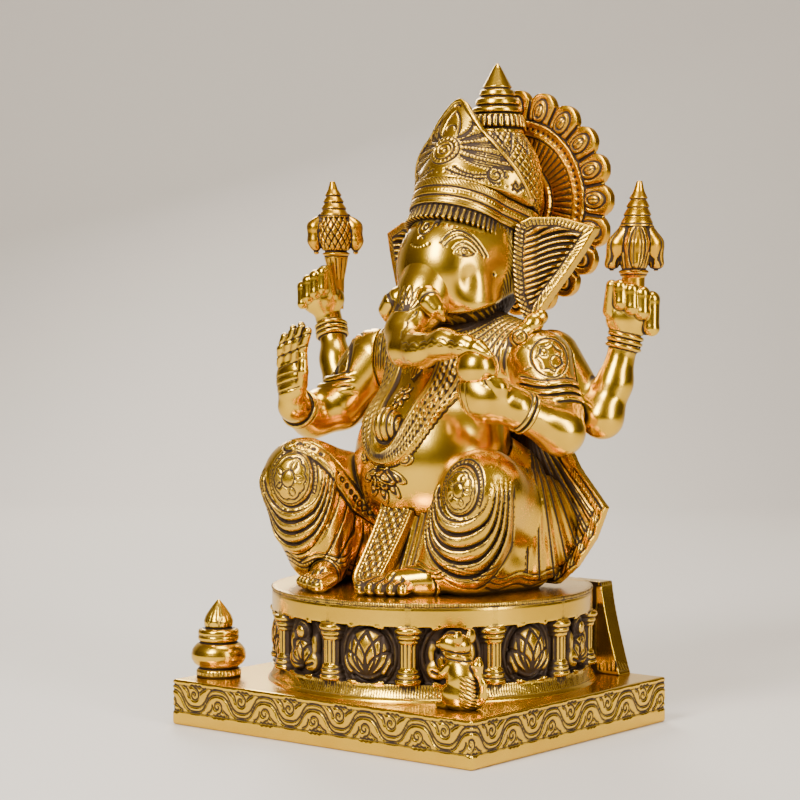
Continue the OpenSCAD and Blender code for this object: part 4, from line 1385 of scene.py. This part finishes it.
def crown_body(p):
    q = in_crown(p)
    h = q[:, 2]
    way = crown_arc(q)
    aw = np.abs(way)
    dome_d = dome_mass(p)
    shell = union(crown_outline(q, -0.2 - 0.075 * (h - 9)), dome_d - 1.3, 1)
    outline = tiara_outline(aw, h)
    plate = np.maximum(np.abs(shell + 1.8) - 1.8, outline)
    plate = np.maximum(plate, BAND_H - 0.2 - h)
    skin = Skin(plate)
    on_face = (np.abs(shell) < 1.6).astype(np.float32)
    rim = -outline
    skin.cord(rim - 1.1, 1.2, 0.1, on_face * (h > BAND_H + 1))
    rho = np.hypot(way, h - ROUNDEL_H)
    area = on_face * (rim > 2.2)
    skin.swell(1.0 * unit((7.4 - rho) * 2) * on_face)
    skin.score(TIARA_ROUND.line(way, h), 0.52, 0.8, on_face)
    plume = TIARA.line(aw, h)
    skin.score(plume, 0.52, 0.85, area * (rho > 7.6))
    dash = wave(TIARA.along(aw, h), 1.5)
    skin.score(np.hypot(np.maximum(plume - 0.95, 0), dash), 0.42, 0.35, area * (rho > 7.8) * (plume > 0.5))
    petal = spokes(np.arctan2(h - ROUNDEL_H, way), 18) * 2 * PI * rho / 18
    skin.score(petal, 0.35, 0.45, on_face * between(rho, 4.8, 6.8))
    skin.score(np.hypot(wave(aw, 3.0), h - 15.0), 0.55, 0.4, on_face * (aw < 44))
    dome = Skin(dome_d)
    a = np.arctan2(p[:, 0], -(p[:, 1] - DOME_Y))
    lat = (p[:, 2] - DOME_Z) / DOME_H
    ring = np.sqrt(np.clip(1 - lat * lat, 0.05, 1)) * 28
    for lean in (-1, 1):
        dome.score(wave(a * 20 / PI + lean * (p[:, 2] - DOME_Z) / 4.0, 1.0) * np.minimum(ring * PI / 20,
                                                                                         4.0), 0.45, 0.6)
    for k in (0.5, 3.6):
        dome.score(h - BAND_H - k, 0.4, 0.4)
    leafy = wave(a * 8 / PI, 1.0) * 8
    dome.score(np.abs(leafy) - (p[:, 2] - 191) * 0.42, 0.5, 0.7, (p[:, 2] > 190) * 1.0)
    dome.stain(unit(1 - np.abs(outline - 0.8) / 1.6) * (h > BAND_H) * (p[:, 1] < 50))
    out = Skin(union(skin.d, dome.d, 0.2))
    out.ink = np.where(dome.d < skin.d, dome.ink, skin.ink)
    return out


def crown_finial(p):
    z = p[:, 2] - FINIAL[2]
    a = np.arctan2(p[:, 0] - FINIAL[0], p[:, 1] - FINIAL[1])
    profile = [(0, 11.4), (1.2, 12.2), (2.4, 12.0), (3.0, 11.5), (3.8, 13.2), (8.4, 12.6), (9.4, 11.4),
               (9.9, 10.4), (10.6, 11.6),
               (12.2, 11.4), (12.9, 10.4), (13.6, 9.4), (14.3, 10.2), (16.4, 9.6), (17.1, 8.6), (17.9, 7.6),
               (18.5, 8.3), (20.6, 7.6),
               (21.3, 6.5), (22, 6.8), (26, 4.6), (31, 1.9), (33, 0.5)]
    skin = Skin(turned(profile, p, FINIAL))
    skin.score(spokes(a, 28) * 2.8, 0.55, 0.9, between(z, 3.4, 9.3))
    skin.score(spokes(a, 12) * 6.4, 0.5, 0.5, z < 3.0)
    for height in (3.1, 9.9, 13.5, 17.7, 21.5):
        skin.score(z - height, 0.5, 0.5)
    return skin


PETALS = 20
PETAL_FOOT = 38                         # radius at which the halo's petals start


def halo(p):
    q = p - HALO.astype(np.float32)
    x, y, z = q.T
    rho = np.hypot(x, z)
    a = np.arctan2(x, z)
    half = PI / PETALS
    across = wave(a, 2 * half) / half
    lobe = HALO_R - 5.0 * across**2.4
    t = (rho - PETAL_FOOT) / (HALO_R - PETAL_FOOT)
    dome = half_round(across)
    petal = 0.5 + 2.1 * dome * ramp(t, 0, 0.12) * np.sqrt(unit(1.05 - t))
    # an inner leaf on every petal
    inner = np.hypot(across * half * rho / 3.9, (t - 0.40) / 0.40)
    petal = petal + 1.0 * half_round(inner)
    band = (rho < PETAL_FOOT) & (rho > 31.5)
    disc = np.where(rho > 19, 0.7 - 0.06 * (31 - rho), 1.4)
    relief = np.where(rho > PETAL_FOOT, petal, np.where(band, 1.7, disc))
    relief = relief + 0.5 * unit(1 - (rho - PETAL_FOOT) ** 2) + 0.5 * unit(1 - (rho - 31.4) ** 2)
    skin = Skin(np.maximum(rho - lobe, np.maximum(-y - relief + 0.2, y - 3.2)))
    front = (y < 0.6).astype(np.float32)
    skin.score((1 - across) * half * rho, 0.9, 1.3, front * (rho > 38.6))
    skin.score((inner - 1.0) * 3.4, 0.55, 0.8, front * (rho > 38.8))
    skin.score((inner - 0.55) * 3.4, 0.42, 0.6, front * (rho > 39))
    skin.score(across * half * rho, 0.38, 0.5, front * (inner < 0.55))
    skin.score(rho - 38.4, 0.55, 0.7, front)
    skin.score(rho - 31.0, 0.55, 0.7, front)
    skin.score(np.hypot(wave(a * 34.6, 3.1), rho - 34.6), 1.0, 1.2, front)
    skin.score(spokes(a, 60) * 2.7, 0.55, 0.9, front * between(rho, 20, 30.4))
    skin.stain(front * between(rho, 19, 31) * 0.35)
    for ring in (19.4, 16.2, 13):
        skin.score(rho - ring, 0.5, 0.5, front)
    back = (y > 2.6).astype(np.float32)
    for ring in (47, PETAL_FOOT, 20):
        skin.score(rho - ring, 0.4, 0.35, back)
    skin.score((1 - across) * half * rho, 0.5, 0.4, back * (rho > PETAL_FOOT))
    return skin


# ---- Arms, emblems and the sweet ----


def bangles(skin, p, a, b, places, radius, thick):
    """Rings round the rod from a to b, at distances from a."""
    a, b = np.asarray(a, float), np.asarray(b, float)
    axis = ((b - a) / np.linalg.norm(b - a)).astype(np.float32)
    q = p - a.astype(np.float32)
    way = q @ axis
    rho = span(q - way[:, None] * axis)
    for place in places:
        ring = np.hypot(way - place, rho - radius) - thick
        skin.add(ring, 0.2)
        skin.score(np.abs(way - place) - thick * 1.15, 0.3, 0.25, rho < radius + thick * 1.6)


def flower_on_shoulder(skin, p, centre, side):
    """A ring with a curl-petalled flower, engraved on the side of a sleeve."""
    q = mirrored(p - np.asarray(centre, np.float32), side)
    u = q[:, 0] * 0.70 + q[:, 1] * 0.71
    v = q[:, 2]
    outside = q[:, 0] * 0.6 - q[:, 1] * 0.5 > -4
    rho = np.hypot(u, v)
    turn = np.arctan2(v, u)
    skin.score(rho - 8.2, 0.5, 0.6, outside)
    lobe = 6.2 - 1.3 * np.abs(np.cos(3.5 * turn))
    skin.score(rho - lobe, 0.45, 0.55, outside)
    skin.score(np.hypot(u - 2.4, v + 1.6) - 2.6, 0.42, 0.5, outside & (turn < 1.8))
    skin.score(np.hypot(u + 2.6, v - 2.2) - 1.6, 0.40, 0.45, outside)
    skin.score(spokes(turn, 7) * rho, 0.4, 0.4, outside & between(rho, 9.2, 12.0))


def finger(p, points, radius):
    return limb(p, [(point, radius * (1 - 0.09 * i)) for i, point in enumerate(points)], 0.8)


def cuff(skin, p, side):
    """Three raised folds where a sleeve ends, above the elbow."""
    x, y, z = p.T
    away = ramp(x * side, 44, 50) * ramp(y, 4, 9)
    for level in (82.5, 86.0, 89.4):
        line = z - level + 0.16 * (y - 20) - 1.2 * np.sin(0.16 * (y + x * side))
        skin.score(line - 1.75, 0.6, 0.5, away)
        skin.score(line + 1.75, 0.6, 0.5, away)
        skin.swell(1.1 * half_round(line / 1.5) * away)
    if side < 0:
        skin.score(wave(0.8 * y + 0.6 * x - 0.25 * z, 3.8), 0.7, 0.7, away * ramp(z, 91, 94))


def left_front_arm(p):
    d = limb(p, ARM_LF, 5)
    d = union(d, link(p, (60, -10, 80), (52.5, -16, 84), 8, 9.6)[0], 3)
    hand = union(egg(p, (50, -18.2, 84.5), (11.4, 10.2, 10.6)), egg(p, (46.5, -20, 88.5), (8.4, 8.0, 7.4)), 3)
    d = union(d, hand, 2.5)
    thumb = limb(p, [((58, -18, 84), 4.2), ((58.4, -20.5, 89), 3.8), ((55.4, -23.5, 93), 3.0)], 1.5)
    d = union(d, thumb, 0.9)
    skin = Skin(d)
    x, y, z = p.T
    skin.carve(np.maximum(92.0 - z + 0.10 * (x - 47), span(p[:, :2] - np.array([47, -20],
                                                                               np.float32)) - 11.5), 0.8)
    for k in range(3):
        skin.score(x - (39.5 + 3.6 * k) - 0.1 * (90 - z), 0.36, 0.35, (y < -19) & between(z, 78, 93))
    skin.score(np.hypot(x - 47, y + 20) - 10.2, 0.6, 0.4, z > 90)
    bangles(skin, p, (70, 8, 70), (60, -10, 80), (17.4, 19.8), 8.6, 0.8)
    flower_on_shoulder(skin, p, (54.3, 20.8, 101), 1)
    cuff(skin, p, 1)
    skin.clear(torso_mass(p), leg_mass(p, 1))
    skin.carve(ball(p, SWEET_AT, 9.05))
    return skin


def right_front_arm(p):
    d = limb(p, ARM_RF, 5)
    palm = egg(p, (-60.8, -16, 90), (8.8, 4.6, 11))
    d = union(d, link(p, (-63, -12, 78), (-61.5, -15, 84), 6.8, 6.2)[0], 2.5)
    d = union(d, palm, 2.0)
    for i in range(4):
        x = -66.4 + 4.0 * i
        length = (12.5, 16.0, 17.4, 15.0)[i]
        lean = 0.20 + 0.03 * i
        tip = (x + lean * length + 1.0, -18.4, 97 + length)
        middle = (x + lean * length * 0.5 + 0.5, -18.6, 97 + length * 0.55)
        d = union(d, finger(p, [(x, -16.8, 97), middle, tip], 2.35), 0.35)
    d = union(d, finger(p, [(-54.0, -17, 88), (-51.4, -19.0, 94), (-51.8, -18.6, 100.5)], 2.6), 0.8)
    skin = Skin(d)
    x, y, z = p.T
    inner = y < -17
    skin.score(wave(z - 0.3 * (x + 60) - 97, 5.2), 0.45, 0.5, inner & (z > 95))
    for k in range(3):
        skin.score(z - (85.5 + 3.6 * k) - 0.28 * (x + 60), 0.42, 0.45, inner & (z < 97) & (x < -53))
    skin.stain(inner * (z > 96) * 0.25)
    bangles(skin, p, (-66, 4, 73), (-63, -12, 78), (10.6, 12.8), 8.4, 0.9)
    flower_on_shoulder(skin, p, (-54.3, 20.8, 101), -1)
    cuff(skin, p, -1)
    skin.clear(torso_mass(p), leg_mass(p, -1))
    return skin


HAND_ACROSS = np.array([0.78, 0.62, 0.0])    # the rear hands face the plinth's front left corner

HAND_FRONT = np.array([0.62, -0.78, 0.0])

FISTS = {
    # knuckle rows as (across, depth, top, bottom, radius), then palm and thumb, from the grip
    1: (((-5.6, 6.6, -4.6, -11.5, 3.0), (-0.8, 7.6, -6.0, -13.6, 3.1), (3.8, 7.2, -7.6, -15.6, 3.2),
         (8.0, 4.8, -10.0, -22.5, 3.5)), (-1.6, 0.5, -17.5, 10.0, 7.6, 10.4),
        ((-9.8, 2.5, -15.0), (-9.2, 4.8, -4.0))),
    -1: (((-6.0, 6.4, 3.4, -4.5, 2.9), (-9.6, 6.0, 1.6, -6.2, 2.9), (-13.0, 5.0, -0.6, -8.4, 2.8),
          (-15.8, 3.2, -3.4, -11.5, 2.6)), (-6.5, 0.5, -9.0, 10.6, 7.2, 8.4),
         ((-2.0, 4.6, -7.0), (-4.6, 6.2, 8.4))),
}


def hand_point(grip, across, front, up):
    return grip + HAND_ACROSS * across + HAND_FRONT * front + (0, 0, up)


def rear_arm(side):
    run = ARM_LR if side > 0 else ARM_RR
    front = ARM_LF if side > 0 else ARM_RF
    grip = GRIP_L if side > 0 else GRIP_R
    fingers, palm, thumb = FISTS[side]
    frame_turn = np.stack([HAND_ACROSS, HAND_FRONT, (0, 0, 1)], -1)

    def shape(p):
        d = limb(p, run, 4)
        hand = egg(p, hand_point(grip, *palm[:3]), palm[3:], frame_turn)
        hand = union(hand, link(p, run[-1][0], hand_point(grip, *palm[:3]), 6, 6)[0], 2)
        knuckles = None
        for across, depth, top, bottom, radius in fingers:
            knob = hand_point(grip, across, depth - 4.0, (top + bottom) / 2 + 2)
            high, low = hand_point(grip, across, depth, top), hand_point(grip, across, depth + 0.6, bottom)
            end = hand_point(grip, across * 0.9, depth - 3.5, bottom - 0.5)
            one = limb(p, [(knob, radius), (high, radius), (low, radius * 0.94), (end, radius * 0.8)], 0.8)
            knuckles = one if knuckles is None else union(knuckles, one, 0.35)
        hand = union(hand, knuckles, 0.6)
        hand = union(hand, link(p, hand_point(grip, *thumb[0]), hand_point(grip, *thumb[1]), 3.2, 2.5)[0],
                     0.7)
        skin = Skin(union(d, hand, 1.2))
        skin.stain(unit(1 - np.abs(knuckles - 0.5) / 0.5) * (hand > -0.5) * 0.8)
        low, high = run[3][0], run[4][0]
        length = np.linalg.norm(np.array(high) - low)
        bangles(skin, p, low, high, (length - 2.6, length - 0.2, length + 2.2), 6.9, 1.1)
        skin.clear(torso_mass(p), limb(p, front, 5))
        return skin

    return shape


def emblem(grip, bud_r, top, kind):
    height = top - grip[2]
    lean = 3.0 * np.sign(grip[0])
    lattice = kind == "lattice"
    cone_low = height - (16.5 if lattice else 18.5)
    bud_low = 13.5 if lattice else 3.0
    middle = (cone_low + bud_low) / 2
    tall = (cone_low - bud_low) / 2
    facing = np.arctan2(HAND_FRONT[0], -HAND_FRONT[1])

    def shape(p):
        q = p - (grip + (0, 1, 0)).astype(np.float32)
        q = q - np.stack([lean * unit(q[:, 2] / height), 0 * q[:, 0], 0 * q[:, 0]], -1)
        x, y, z = q.T
        rho = np.hypot(x, y)
        a = np.arctan2(x, -y) - facing
        t = unit((z - cone_low) / (height - cone_low))
        steps = 0.9 * (1 - (t * 5.2) % 1) * (t < 0.76)
        cone = np.maximum((rho - (5.2 * (1 - t) + 1.2 + steps)) * 0.93, slab(z, cone_low - 1, height))
        handle_r = (3.0, 3.4) if lattice else (4.6, 5.0)
        stem_r = np.interp(z, [-14, 0, bud_low - 3, bud_low - 1, bud_low], [*handle_r, 5.8, 6.6, 5.6])
        stem = np.maximum((rho - stem_r) * 0.9, slab(z, -14, bud_low + 1))
        v = (z - middle) / tall
        barrel = (8.6 if lattice else 7.4) * np.sqrt(unit(1 - 0.52 * v * v))
        bud = np.maximum((rho - barrel) * 0.9, slab(z, bud_low, cone_low))
        skin = Skin(union(union(stem, bud, 0.5), cone, 0.4))
        on_bud = (np.abs(v) < 0.95)
        if lattice:
            for way in (-1, 1):
                skin.score(wave(a * 15 / (2 * PI) + way * z / 5.2, 1.0) * 3.7, 0.5, 0.7, on_bud)
            for angle in (-PI / 2, PI / 2, PI):
                turn = np.array([np.sin(angle + facing), -np.cos(angle + facing), 0])
                run = [(turn * 6.4 + (0, 0, cone_low - 1.4), 2.4),
                       (turn * (bud_r - 3.6) + (0, 0, middle + 3), 3.3),
                       (turn * (bud_r - 3.2) + (0, 0, middle - 3.5), 3.0),
                       (turn * (bud_r - 3.6) + (0, 0, bud_low), 1.5)]
                petal = limb(q, run, 3.0)
                skin.ink = skin.ink * (1 - ramp(skin.d - petal, 0.3, 0.9))
                skin.stain(unit(1 - np.abs(petal) / 0.8) * (skin.d < 0.6))
                skin.add(petal, 0.3)
                side = np.array([turn[1], -turn[0], 0], np.float32)
                skin.score(np.abs(q @ side) - 1.3, 0.4, 0.45,
                           (petal < 1) & (q @ turn.astype(np.float32) > 5) & (z < cone_low - 2))
        else:
            for k, angle in enumerate((0, PI / 2, -PI / 2, PI)):
                turn = np.array([np.sin(angle + facing), -np.cos(angle + facing), 0])
                side = np.array([turn[1], -turn[0], 0], np.float32)
                out = (4.0, 8.6, 10.2) if k else (3.6, 7.0, 8.2)
                run = [(turn * out[0] + (0, 0, cone_low - 4.0), 4.6),
                       (turn * out[1] * 0.82 + (0, 0, middle + 0.5), 5.0),
                       (turn * out[2] * 0.94 + (0, 0, bud_low + 2.6), 3.3 if k else 3.8)]
                petal = limb(q, run, 2.0)
                skin.stain(unit(1 - np.abs(petal) / 0.6) * (skin.d < 0.5) * 0.8)
                skin.add(petal, 0.3)
                u = q @ side
                near = (q @ turn.astype(np.float32)) > 3.0
                half = 3.5 * half_round((z - middle + 1) / (tall - 0.5))
                skin.score(np.abs(u) - half, 0.42, 0.6, near * (half > 0.4))
                skin.score(np.abs(u) - half * 0.5, 0.36, 0.45, near * (half > 1.2))
            for way in (0.25, 0.75):
                skin.score(wave(a / PI - way, 1.0) * PI * rho, 0.5, 0.4, on_bud)
        for k in range(4):
            skin.score(z - (cone_low + (height - cone_low) * k / 5.2), 0.45, 0.5)
        skin.score(z - bud_low, 0.5, 0.5)
        skin.score(z - bud_low + 2.4, 0.45, 0.4)
        skin.score(spokes(a, 12) * 2.4, 0.4, 0.4, (z < bud_low - 3) & (z > 0))
        return skin

    return shape


def sweet(p):
    return Skin(ball(p, SWEET_AT, 9.0))


# ---- Materials ----

# dark brown of the patina, also painted over recesses and joins between castings as shade
PATINA_AND_SHADE_COLOUR = (0.035, 0.018, 0.008, 1)
PATINA_SHADE_START, PATINA_SHADE_FULL = 0.34, 0.86  # how deep a recess must be to start and to finish darkening


def brass(name, gold, depth, shine):
    """Polished brass with dark patina in its grooves and recesses and painted shade in its recesses and where
    castings meet.
    depth is the reach of that darkening, shine the roughness.
    """
    material = bpy.data.materials.new(name)
    material.use_nodes = True
    nodes, links = material.node_tree.nodes, material.node_tree.links
    nodes.clear()

    def add(kind, **values):
        node = nodes.new(kind)
        for key, value in values.items():
            if hasattr(node, key):
                setattr(node, key, value)
            else:
                node.inputs[key.replace("_", " ")].default_value = value
        return node

    def math(operation, a, b=None, clamp=False):
        node = nodes.new("ShaderNodeMath")
        node.operation = operation
        node.use_clamp = clamp
        for socket, value in zip(node.inputs, (a, b)):
            if value is None:
                continue
            if isinstance(value, (int, float)):
                socket.default_value = value
            else:
                links.new(value, socket)
        return node.outputs[0]

    where = add("ShaderNodeTexCoord").outputs["Object"]
    # patina the tooling holds, patina and painted shade in hollows, painted shade where castings meet
    tooling = add("ShaderNodeAttribute", attribute_name="patina_and_shade")
    split = nodes.new("ShaderNodeSeparateXYZ")
    links.new(tooling.outputs["Vector"], split.inputs[0])
    ink, hollow, shade = split.outputs

    def noise(scale, detail=4.0, rough=0.6):
        node = add("ShaderNodeTexNoise", Scale=scale, Detail=detail, Roughness=rough)
        links.new(where, node.inputs["Vector"])
        return node.outputs["Fac"]

    blotch, grain, fine = noise(55), noise(420, 3), noise(1500, 2)
    # patina and painted shade added together, with blotches and grain
    total = math("ADD", math("MULTIPLY", ink, 0.75), math("MULTIPLY", hollow, 0.8))
    total = math("ADD", total, math("MULTIPLY", shade, 0.75))
    total = math("ADD", total, math("MULTIPLY", math("SUBTRACT", blotch, 0.5), 0.25))
    total = math("ADD", total, math("MULTIPLY", math("SUBTRACT", grain, 0.5), 0.25))
    fade = nodes.new("ShaderNodeValToRGB")
    for stop, start, grey in zip(fade.color_ramp.elements, (PATINA_SHADE_START, PATINA_SHADE_FULL), (0, 1)):
        stop.position = start - depth
        stop.color = (grey, grey, grey, 1)
    fade.color_ramp.interpolation = "EASE"
    links.new(total, fade.inputs[0])
    dark = fade.outputs[0]

    hue = nodes.new("ShaderNodeMix")
    hue.data_type = "RGBA"
    hue.inputs["A"].default_value = (*gold, 1)
    hue.inputs["B"].default_value = (gold[0] * 0.86, gold[1] * 0.72, gold[2] * 0.55, 1)
    links.new(blotch, hue.inputs["Factor"])
    # paints the dark of the patina and of the painted shade over the brass
    stain = nodes.new("ShaderNodeMix")
    stain.data_type = "RGBA"
    links.new(dark, stain.inputs["Factor"])
    links.new(hue.outputs["Result"], stain.inputs["A"])
    stain.inputs["B"].default_value = PATINA_AND_SHADE_COLOUR

    shader = nodes.new("ShaderNodeBsdfPrincipled")
    links.new(stain.outputs["Result"], shader.inputs["Base Color"])
    links.new(math("SUBTRACT", 1.0, math("MULTIPLY", dark, 0.55)), shader.inputs["Metallic"])
    polish = math("ADD", math("MULTIPLY", fine, 0.06), math("MULTIPLY", blotch, 0.10))
    rough = math("ADD", polish, math("MULTIPLY", dark, 0.34))
    links.new(math("ADD", rough, shine), shader.inputs["Roughness"])
    bump = add("ShaderNodeBump", Strength=0.10, Distance=0.0003)
    links.new(math("ADD", math("MULTIPLY", grain, 0.7), math("MULTIPLY", fine, 0.3)), bump.inputs["Height"])
    links.new(bump.outputs["Normal"], shader.inputs["Normal"])
    out = nodes.new("ShaderNodeOutputMaterial")
    links.new(shader.outputs[0], out.inputs[0])
    return material


def steel(name):
    """Plated steel with a fine uneven sheen, for the hidden nuts and studs."""
    material = bpy.data.materials.new(name)
    material.use_nodes = True
    nodes, links = material.node_tree.nodes, material.node_tree.links
    shader = nodes["Principled BSDF"]
    shader.inputs["Metallic"].default_value = 1.0
    where = nodes.new("ShaderNodeTexCoord")
    noise = nodes.new("ShaderNodeTexNoise")
    noise.inputs["Scale"].default_value = 600
    links.new(where.outputs["Object"], noise.inputs["Vector"])
    tint = nodes.new("ShaderNodeValToRGB")
    tint.color_ramp.elements[0].color = (0.42, 0.42, 0.44, 1)
    tint.color_ramp.elements[1].color = (0.62, 0.62, 0.64, 1)
    links.new(noise.outputs["Fac"], tint.inputs[0])
    links.new(tint.outputs[0], shader.inputs["Base Color"])
    rough = nodes.new("ShaderNodeMapRange")
    rough.inputs["To Min"].default_value = 0.25
    rough.inputs["To Max"].default_value = 0.45
    links.new(noise.outputs["Fac"], rough.inputs["Value"])
    links.new(rough.outputs[0], shader.inputs["Roughness"])
    return material


GOLD = (0.88, 0.58, 0.045)
POLISHED = brass("polished_brass", GOLD, 0.03, 0.15)
TOOLED = brass("tooled_brass", (0.85, 0.54, 0.04), 0.09, 0.19)
AMBER = brass("amber_brass", (0.86, 0.48, 0.015), 0.08, 0.20)
STEEL = steel("zinc_steel")


# ---- The castings ----

base_cast("plinth", "plinth_plate", plinth, 0.55, POLISHED)
base_cast("pedestal", "pedestal_drum", drum, 0.55, POLISHED)
base_cast("pedestal_reliefs", "frieze_lotuses", reliefs, 0.48, TOOLED, "antiqued_brass", 2)
base_cast("pot", "water_pot", water_pot, 0.4, POLISHED)
base_cast("mouse_figure", "mouse", mouse, 0.38, POLISHED, grow=1)
figure_cast("hips", "hip_drape", hips, 0.7, TOOLED)
figure_cast("torso_body", "torso", torso, 0.58, POLISHED)
figure_cast("leg_right", "right_leg", leg(-1), 0.55, TOOLED)
figure_cast("leg_left", "left_leg", leg(1), 0.55, TOOLED)
figure_cast("foot_right", "right_foot", foot(-1), 0.4, POLISHED, grow=9)
figure_cast("foot_left", "left_foot", foot(1), 0.4, POLISHED)
figure_cast("sash_front", "front_sash", front_sash, 0.4, TOOLED, "antiqued_brass", 22)
figure_cast("sash_left", "left_sash_tail", sash_tail(1), 0.5, TOOLED, grow=25)
figure_cast("sash_right", "right_sash_tail", sash_tail(-1), 0.5, TOOLED, grow=25)
figure_cast("necklace_strands", "necklaces", necklaces, 0.38, TOOLED, "antiqued_brass", 3)
figure_cast("pendant_plate", "belly_pendant", pendant, 0.38, TOOLED, "antiqued_brass", 3)
figure_cast("head_mask", "head", head, 0.48, POLISHED)
figure_cast("trunk_body", "trunk", trunk, 0.5, POLISHED)
figure_cast("tusk_right", "right_tusk", tusk(-1), 0.3, POLISHED, grow=4)
figure_cast("tusk_left", "left_tusk", tusk(1), 0.3, POLISHED, grow=4)
figure_cast("ear_right", "right_ear", ear(-1), 0.45, TOOLED)
figure_cast("ear_left", "left_ear", ear(1), 0.45, TOOLED)
figure_cast("crown_ring", "crown_band", crown_band, 0.45, TOOLED)
figure_cast("crown_cap", "crown_body", crown_body, 0.45, TOOLED)
figure_cast("crown_point", "crown_finial", crown_finial, 0.4, POLISHED)
figure_cast("halo_plate", "halo_disc", halo, 0.55, AMBER, "antiqued_brass", 2.5)
figure_cast("arm_right_front", "right_front_arm", right_front_arm, 0.5, POLISHED)
figure_cast("arm_left_front", "left_front_arm", left_front_arm, 0.5, POLISHED)
figure_cast("arm_right_rear", "right_rear_arm", rear_arm(-1), 0.52, POLISHED)
figure_cast("arm_left_rear", "left_rear_arm", rear_arm(1), 0.52, POLISHED)
figure_cast("emblem_right", "right_emblem", emblem(GRIP_R, 13, 183, "lattice"), 0.4, AMBER, "antiqued_brass")
figure_cast("emblem_left", "left_emblem", emblem(GRIP_L, 12.5, 177, "petals"), 0.4, AMBER, "antiqued_brass")
figure_cast("sweet_ball", "sweet", sweet, 0.4, POLISHED)

with ThreadPoolExecutor(4) as pool:
    made = list(pool.map(lambda job: mesh_data(*job[-1]), jobs))
for (*label, _), data in zip(jobs, made):
    make_piece(*label, data)

for name in ("seat_studs", "seat_washers", "seat_nuts", "pot_stud", "pot_nut", "mouse_stud", "mouse_nut",
             "halo_nut"):
    for slot in frame["nodes"][name].material_slots:
        slot.material = STEEL
for slot in frame["nodes"]["halo_stud"].material_slots:
    slot.material = POLISHED

# ---- Floor, light and camera ----

MIDDLE = Vector((0, 0, 0.15))
VIEW_TURN, VIEW_DOWN = 39.0, 2.2        # of the camera, in degrees
FLOOR_TURN = 38.5                       # sets the back wall square to the camera


def stage():
    """A floor that curves up into a back wall."""
    mesh = bpy.data.meshes.new("floor")
    size, rise, depth, bend = 3.0, 1.6, 1.1, 0.35
    steps = 24
    points, faces = [], []
    profile = [(-size, 0.0), (depth, 0.0)]
    for i in range(steps + 1):
        a = PI / 2 * i / steps
        profile.append((depth + bend * np.sin(a), bend * (1 - np.cos(a))))
    profile.append((depth + bend, rise))
    turn = np.radians(FLOOR_TURN)
    for along, height in profile:
        for across in (-size, size):
            x = across * np.cos(turn) - along * np.sin(turn)
            y = across * np.sin(turn) + along * np.cos(turn)
            points.append((x, y, height))
    for i in range(len(profile) - 1):
        faces.append((2 * i, 2 * i + 1, 2 * i + 3, 2 * i + 2))
    mesh.from_pydata(points, [], faces)
    mesh.polygons.foreach_set("use_smooth", [True] * len(faces))
    floor = bpy.data.objects.new("floor", mesh)
    bpy.context.scene.collection.objects.link(floor)
    material = bpy.data.materials.new("pale_floor")
    material.use_nodes = True
    shader = material.node_tree.nodes["Principled BSDF"]
    shader.inputs["Base Color"].default_value = (0.62, 0.585, 0.54, 1)
    shader.inputs["Roughness"].default_value = 0.7
    mesh.materials.append(material)


def lamp(name, place, width, height, power, colour):
    """A rectangular lamp that faces the middle of the idol."""
    light = bpy.data.lights.new(name, "AREA")
    light.shape = "RECTANGLE"
    light.size = width
    light.size_y = height
    light.energy = power
    light.color = colour
    thing = bpy.data.objects.new(name, light)
    thing.location = place
    thing.rotation_euler = (MIDDLE - Vector(place)).to_track_quat("-Z", "Y").to_euler()
    bpy.context.scene.collection.objects.link(thing)


def world():
    """Soft light that fades from a warm top to a dark floor."""
    scene_world = bpy.data.worlds.new("studio")
    bpy.context.scene.world = scene_world
    scene_world.use_nodes = True
    nodes, links = scene_world.node_tree.nodes, scene_world.node_tree.links
    background = nodes["Background"]
    where = nodes.new("ShaderNodeTexCoord")
    split = nodes.new("ShaderNodeSeparateXYZ")
    fade = nodes.new("ShaderNodeValToRGB")
    links.new(where.outputs["Generated"], split.inputs[0])
    links.new(split.outputs[2], fade.inputs[0])
    fade.color_ramp.elements[0].color = (0.05, 0.035, 0.02, 1)
    fade.color_ramp.elements[1].color = (0.29, 0.21, 0.125, 1)
    fade.color_ramp.elements[1].position = 0.9
    links.new(fade.outputs[0], background.inputs[0])
    background.inputs[1].default_value = 0.8


stage()
world()
lamp("key", (0.05, -1.1, 0.95), 0.40, 0.7, 31, (1, 0.97, 0.92))
lamp("side", (1.25, -0.15, 0.6), 0.30, 0.9, 16, (1, 0.96, 0.9))
lamp("rim", (-0.9, 0.8, 0.8), 0.4, 0.8, 14, (1, 0.95, 0.88))
lamp("top", (0.1, 0.1, 1.3), 0.5, 0.5, 13, (1, 0.94, 0.86))

camera = bpy.data.cameras.new("camera")
camera.sensor_width = 36
camera.lens = 102.6
camera.clip_start = 0.01
viewer = bpy.data.objects.new("camera", camera)
viewer.location = (0.6241, -0.7846, 0.1814)
viewer.rotation_euler = (np.radians(90 - VIEW_DOWN), 0, np.radians(VIEW_TURN))
bpy.context.scene.collection.objects.link(viewer)
bpy.context.scene.camera = viewer
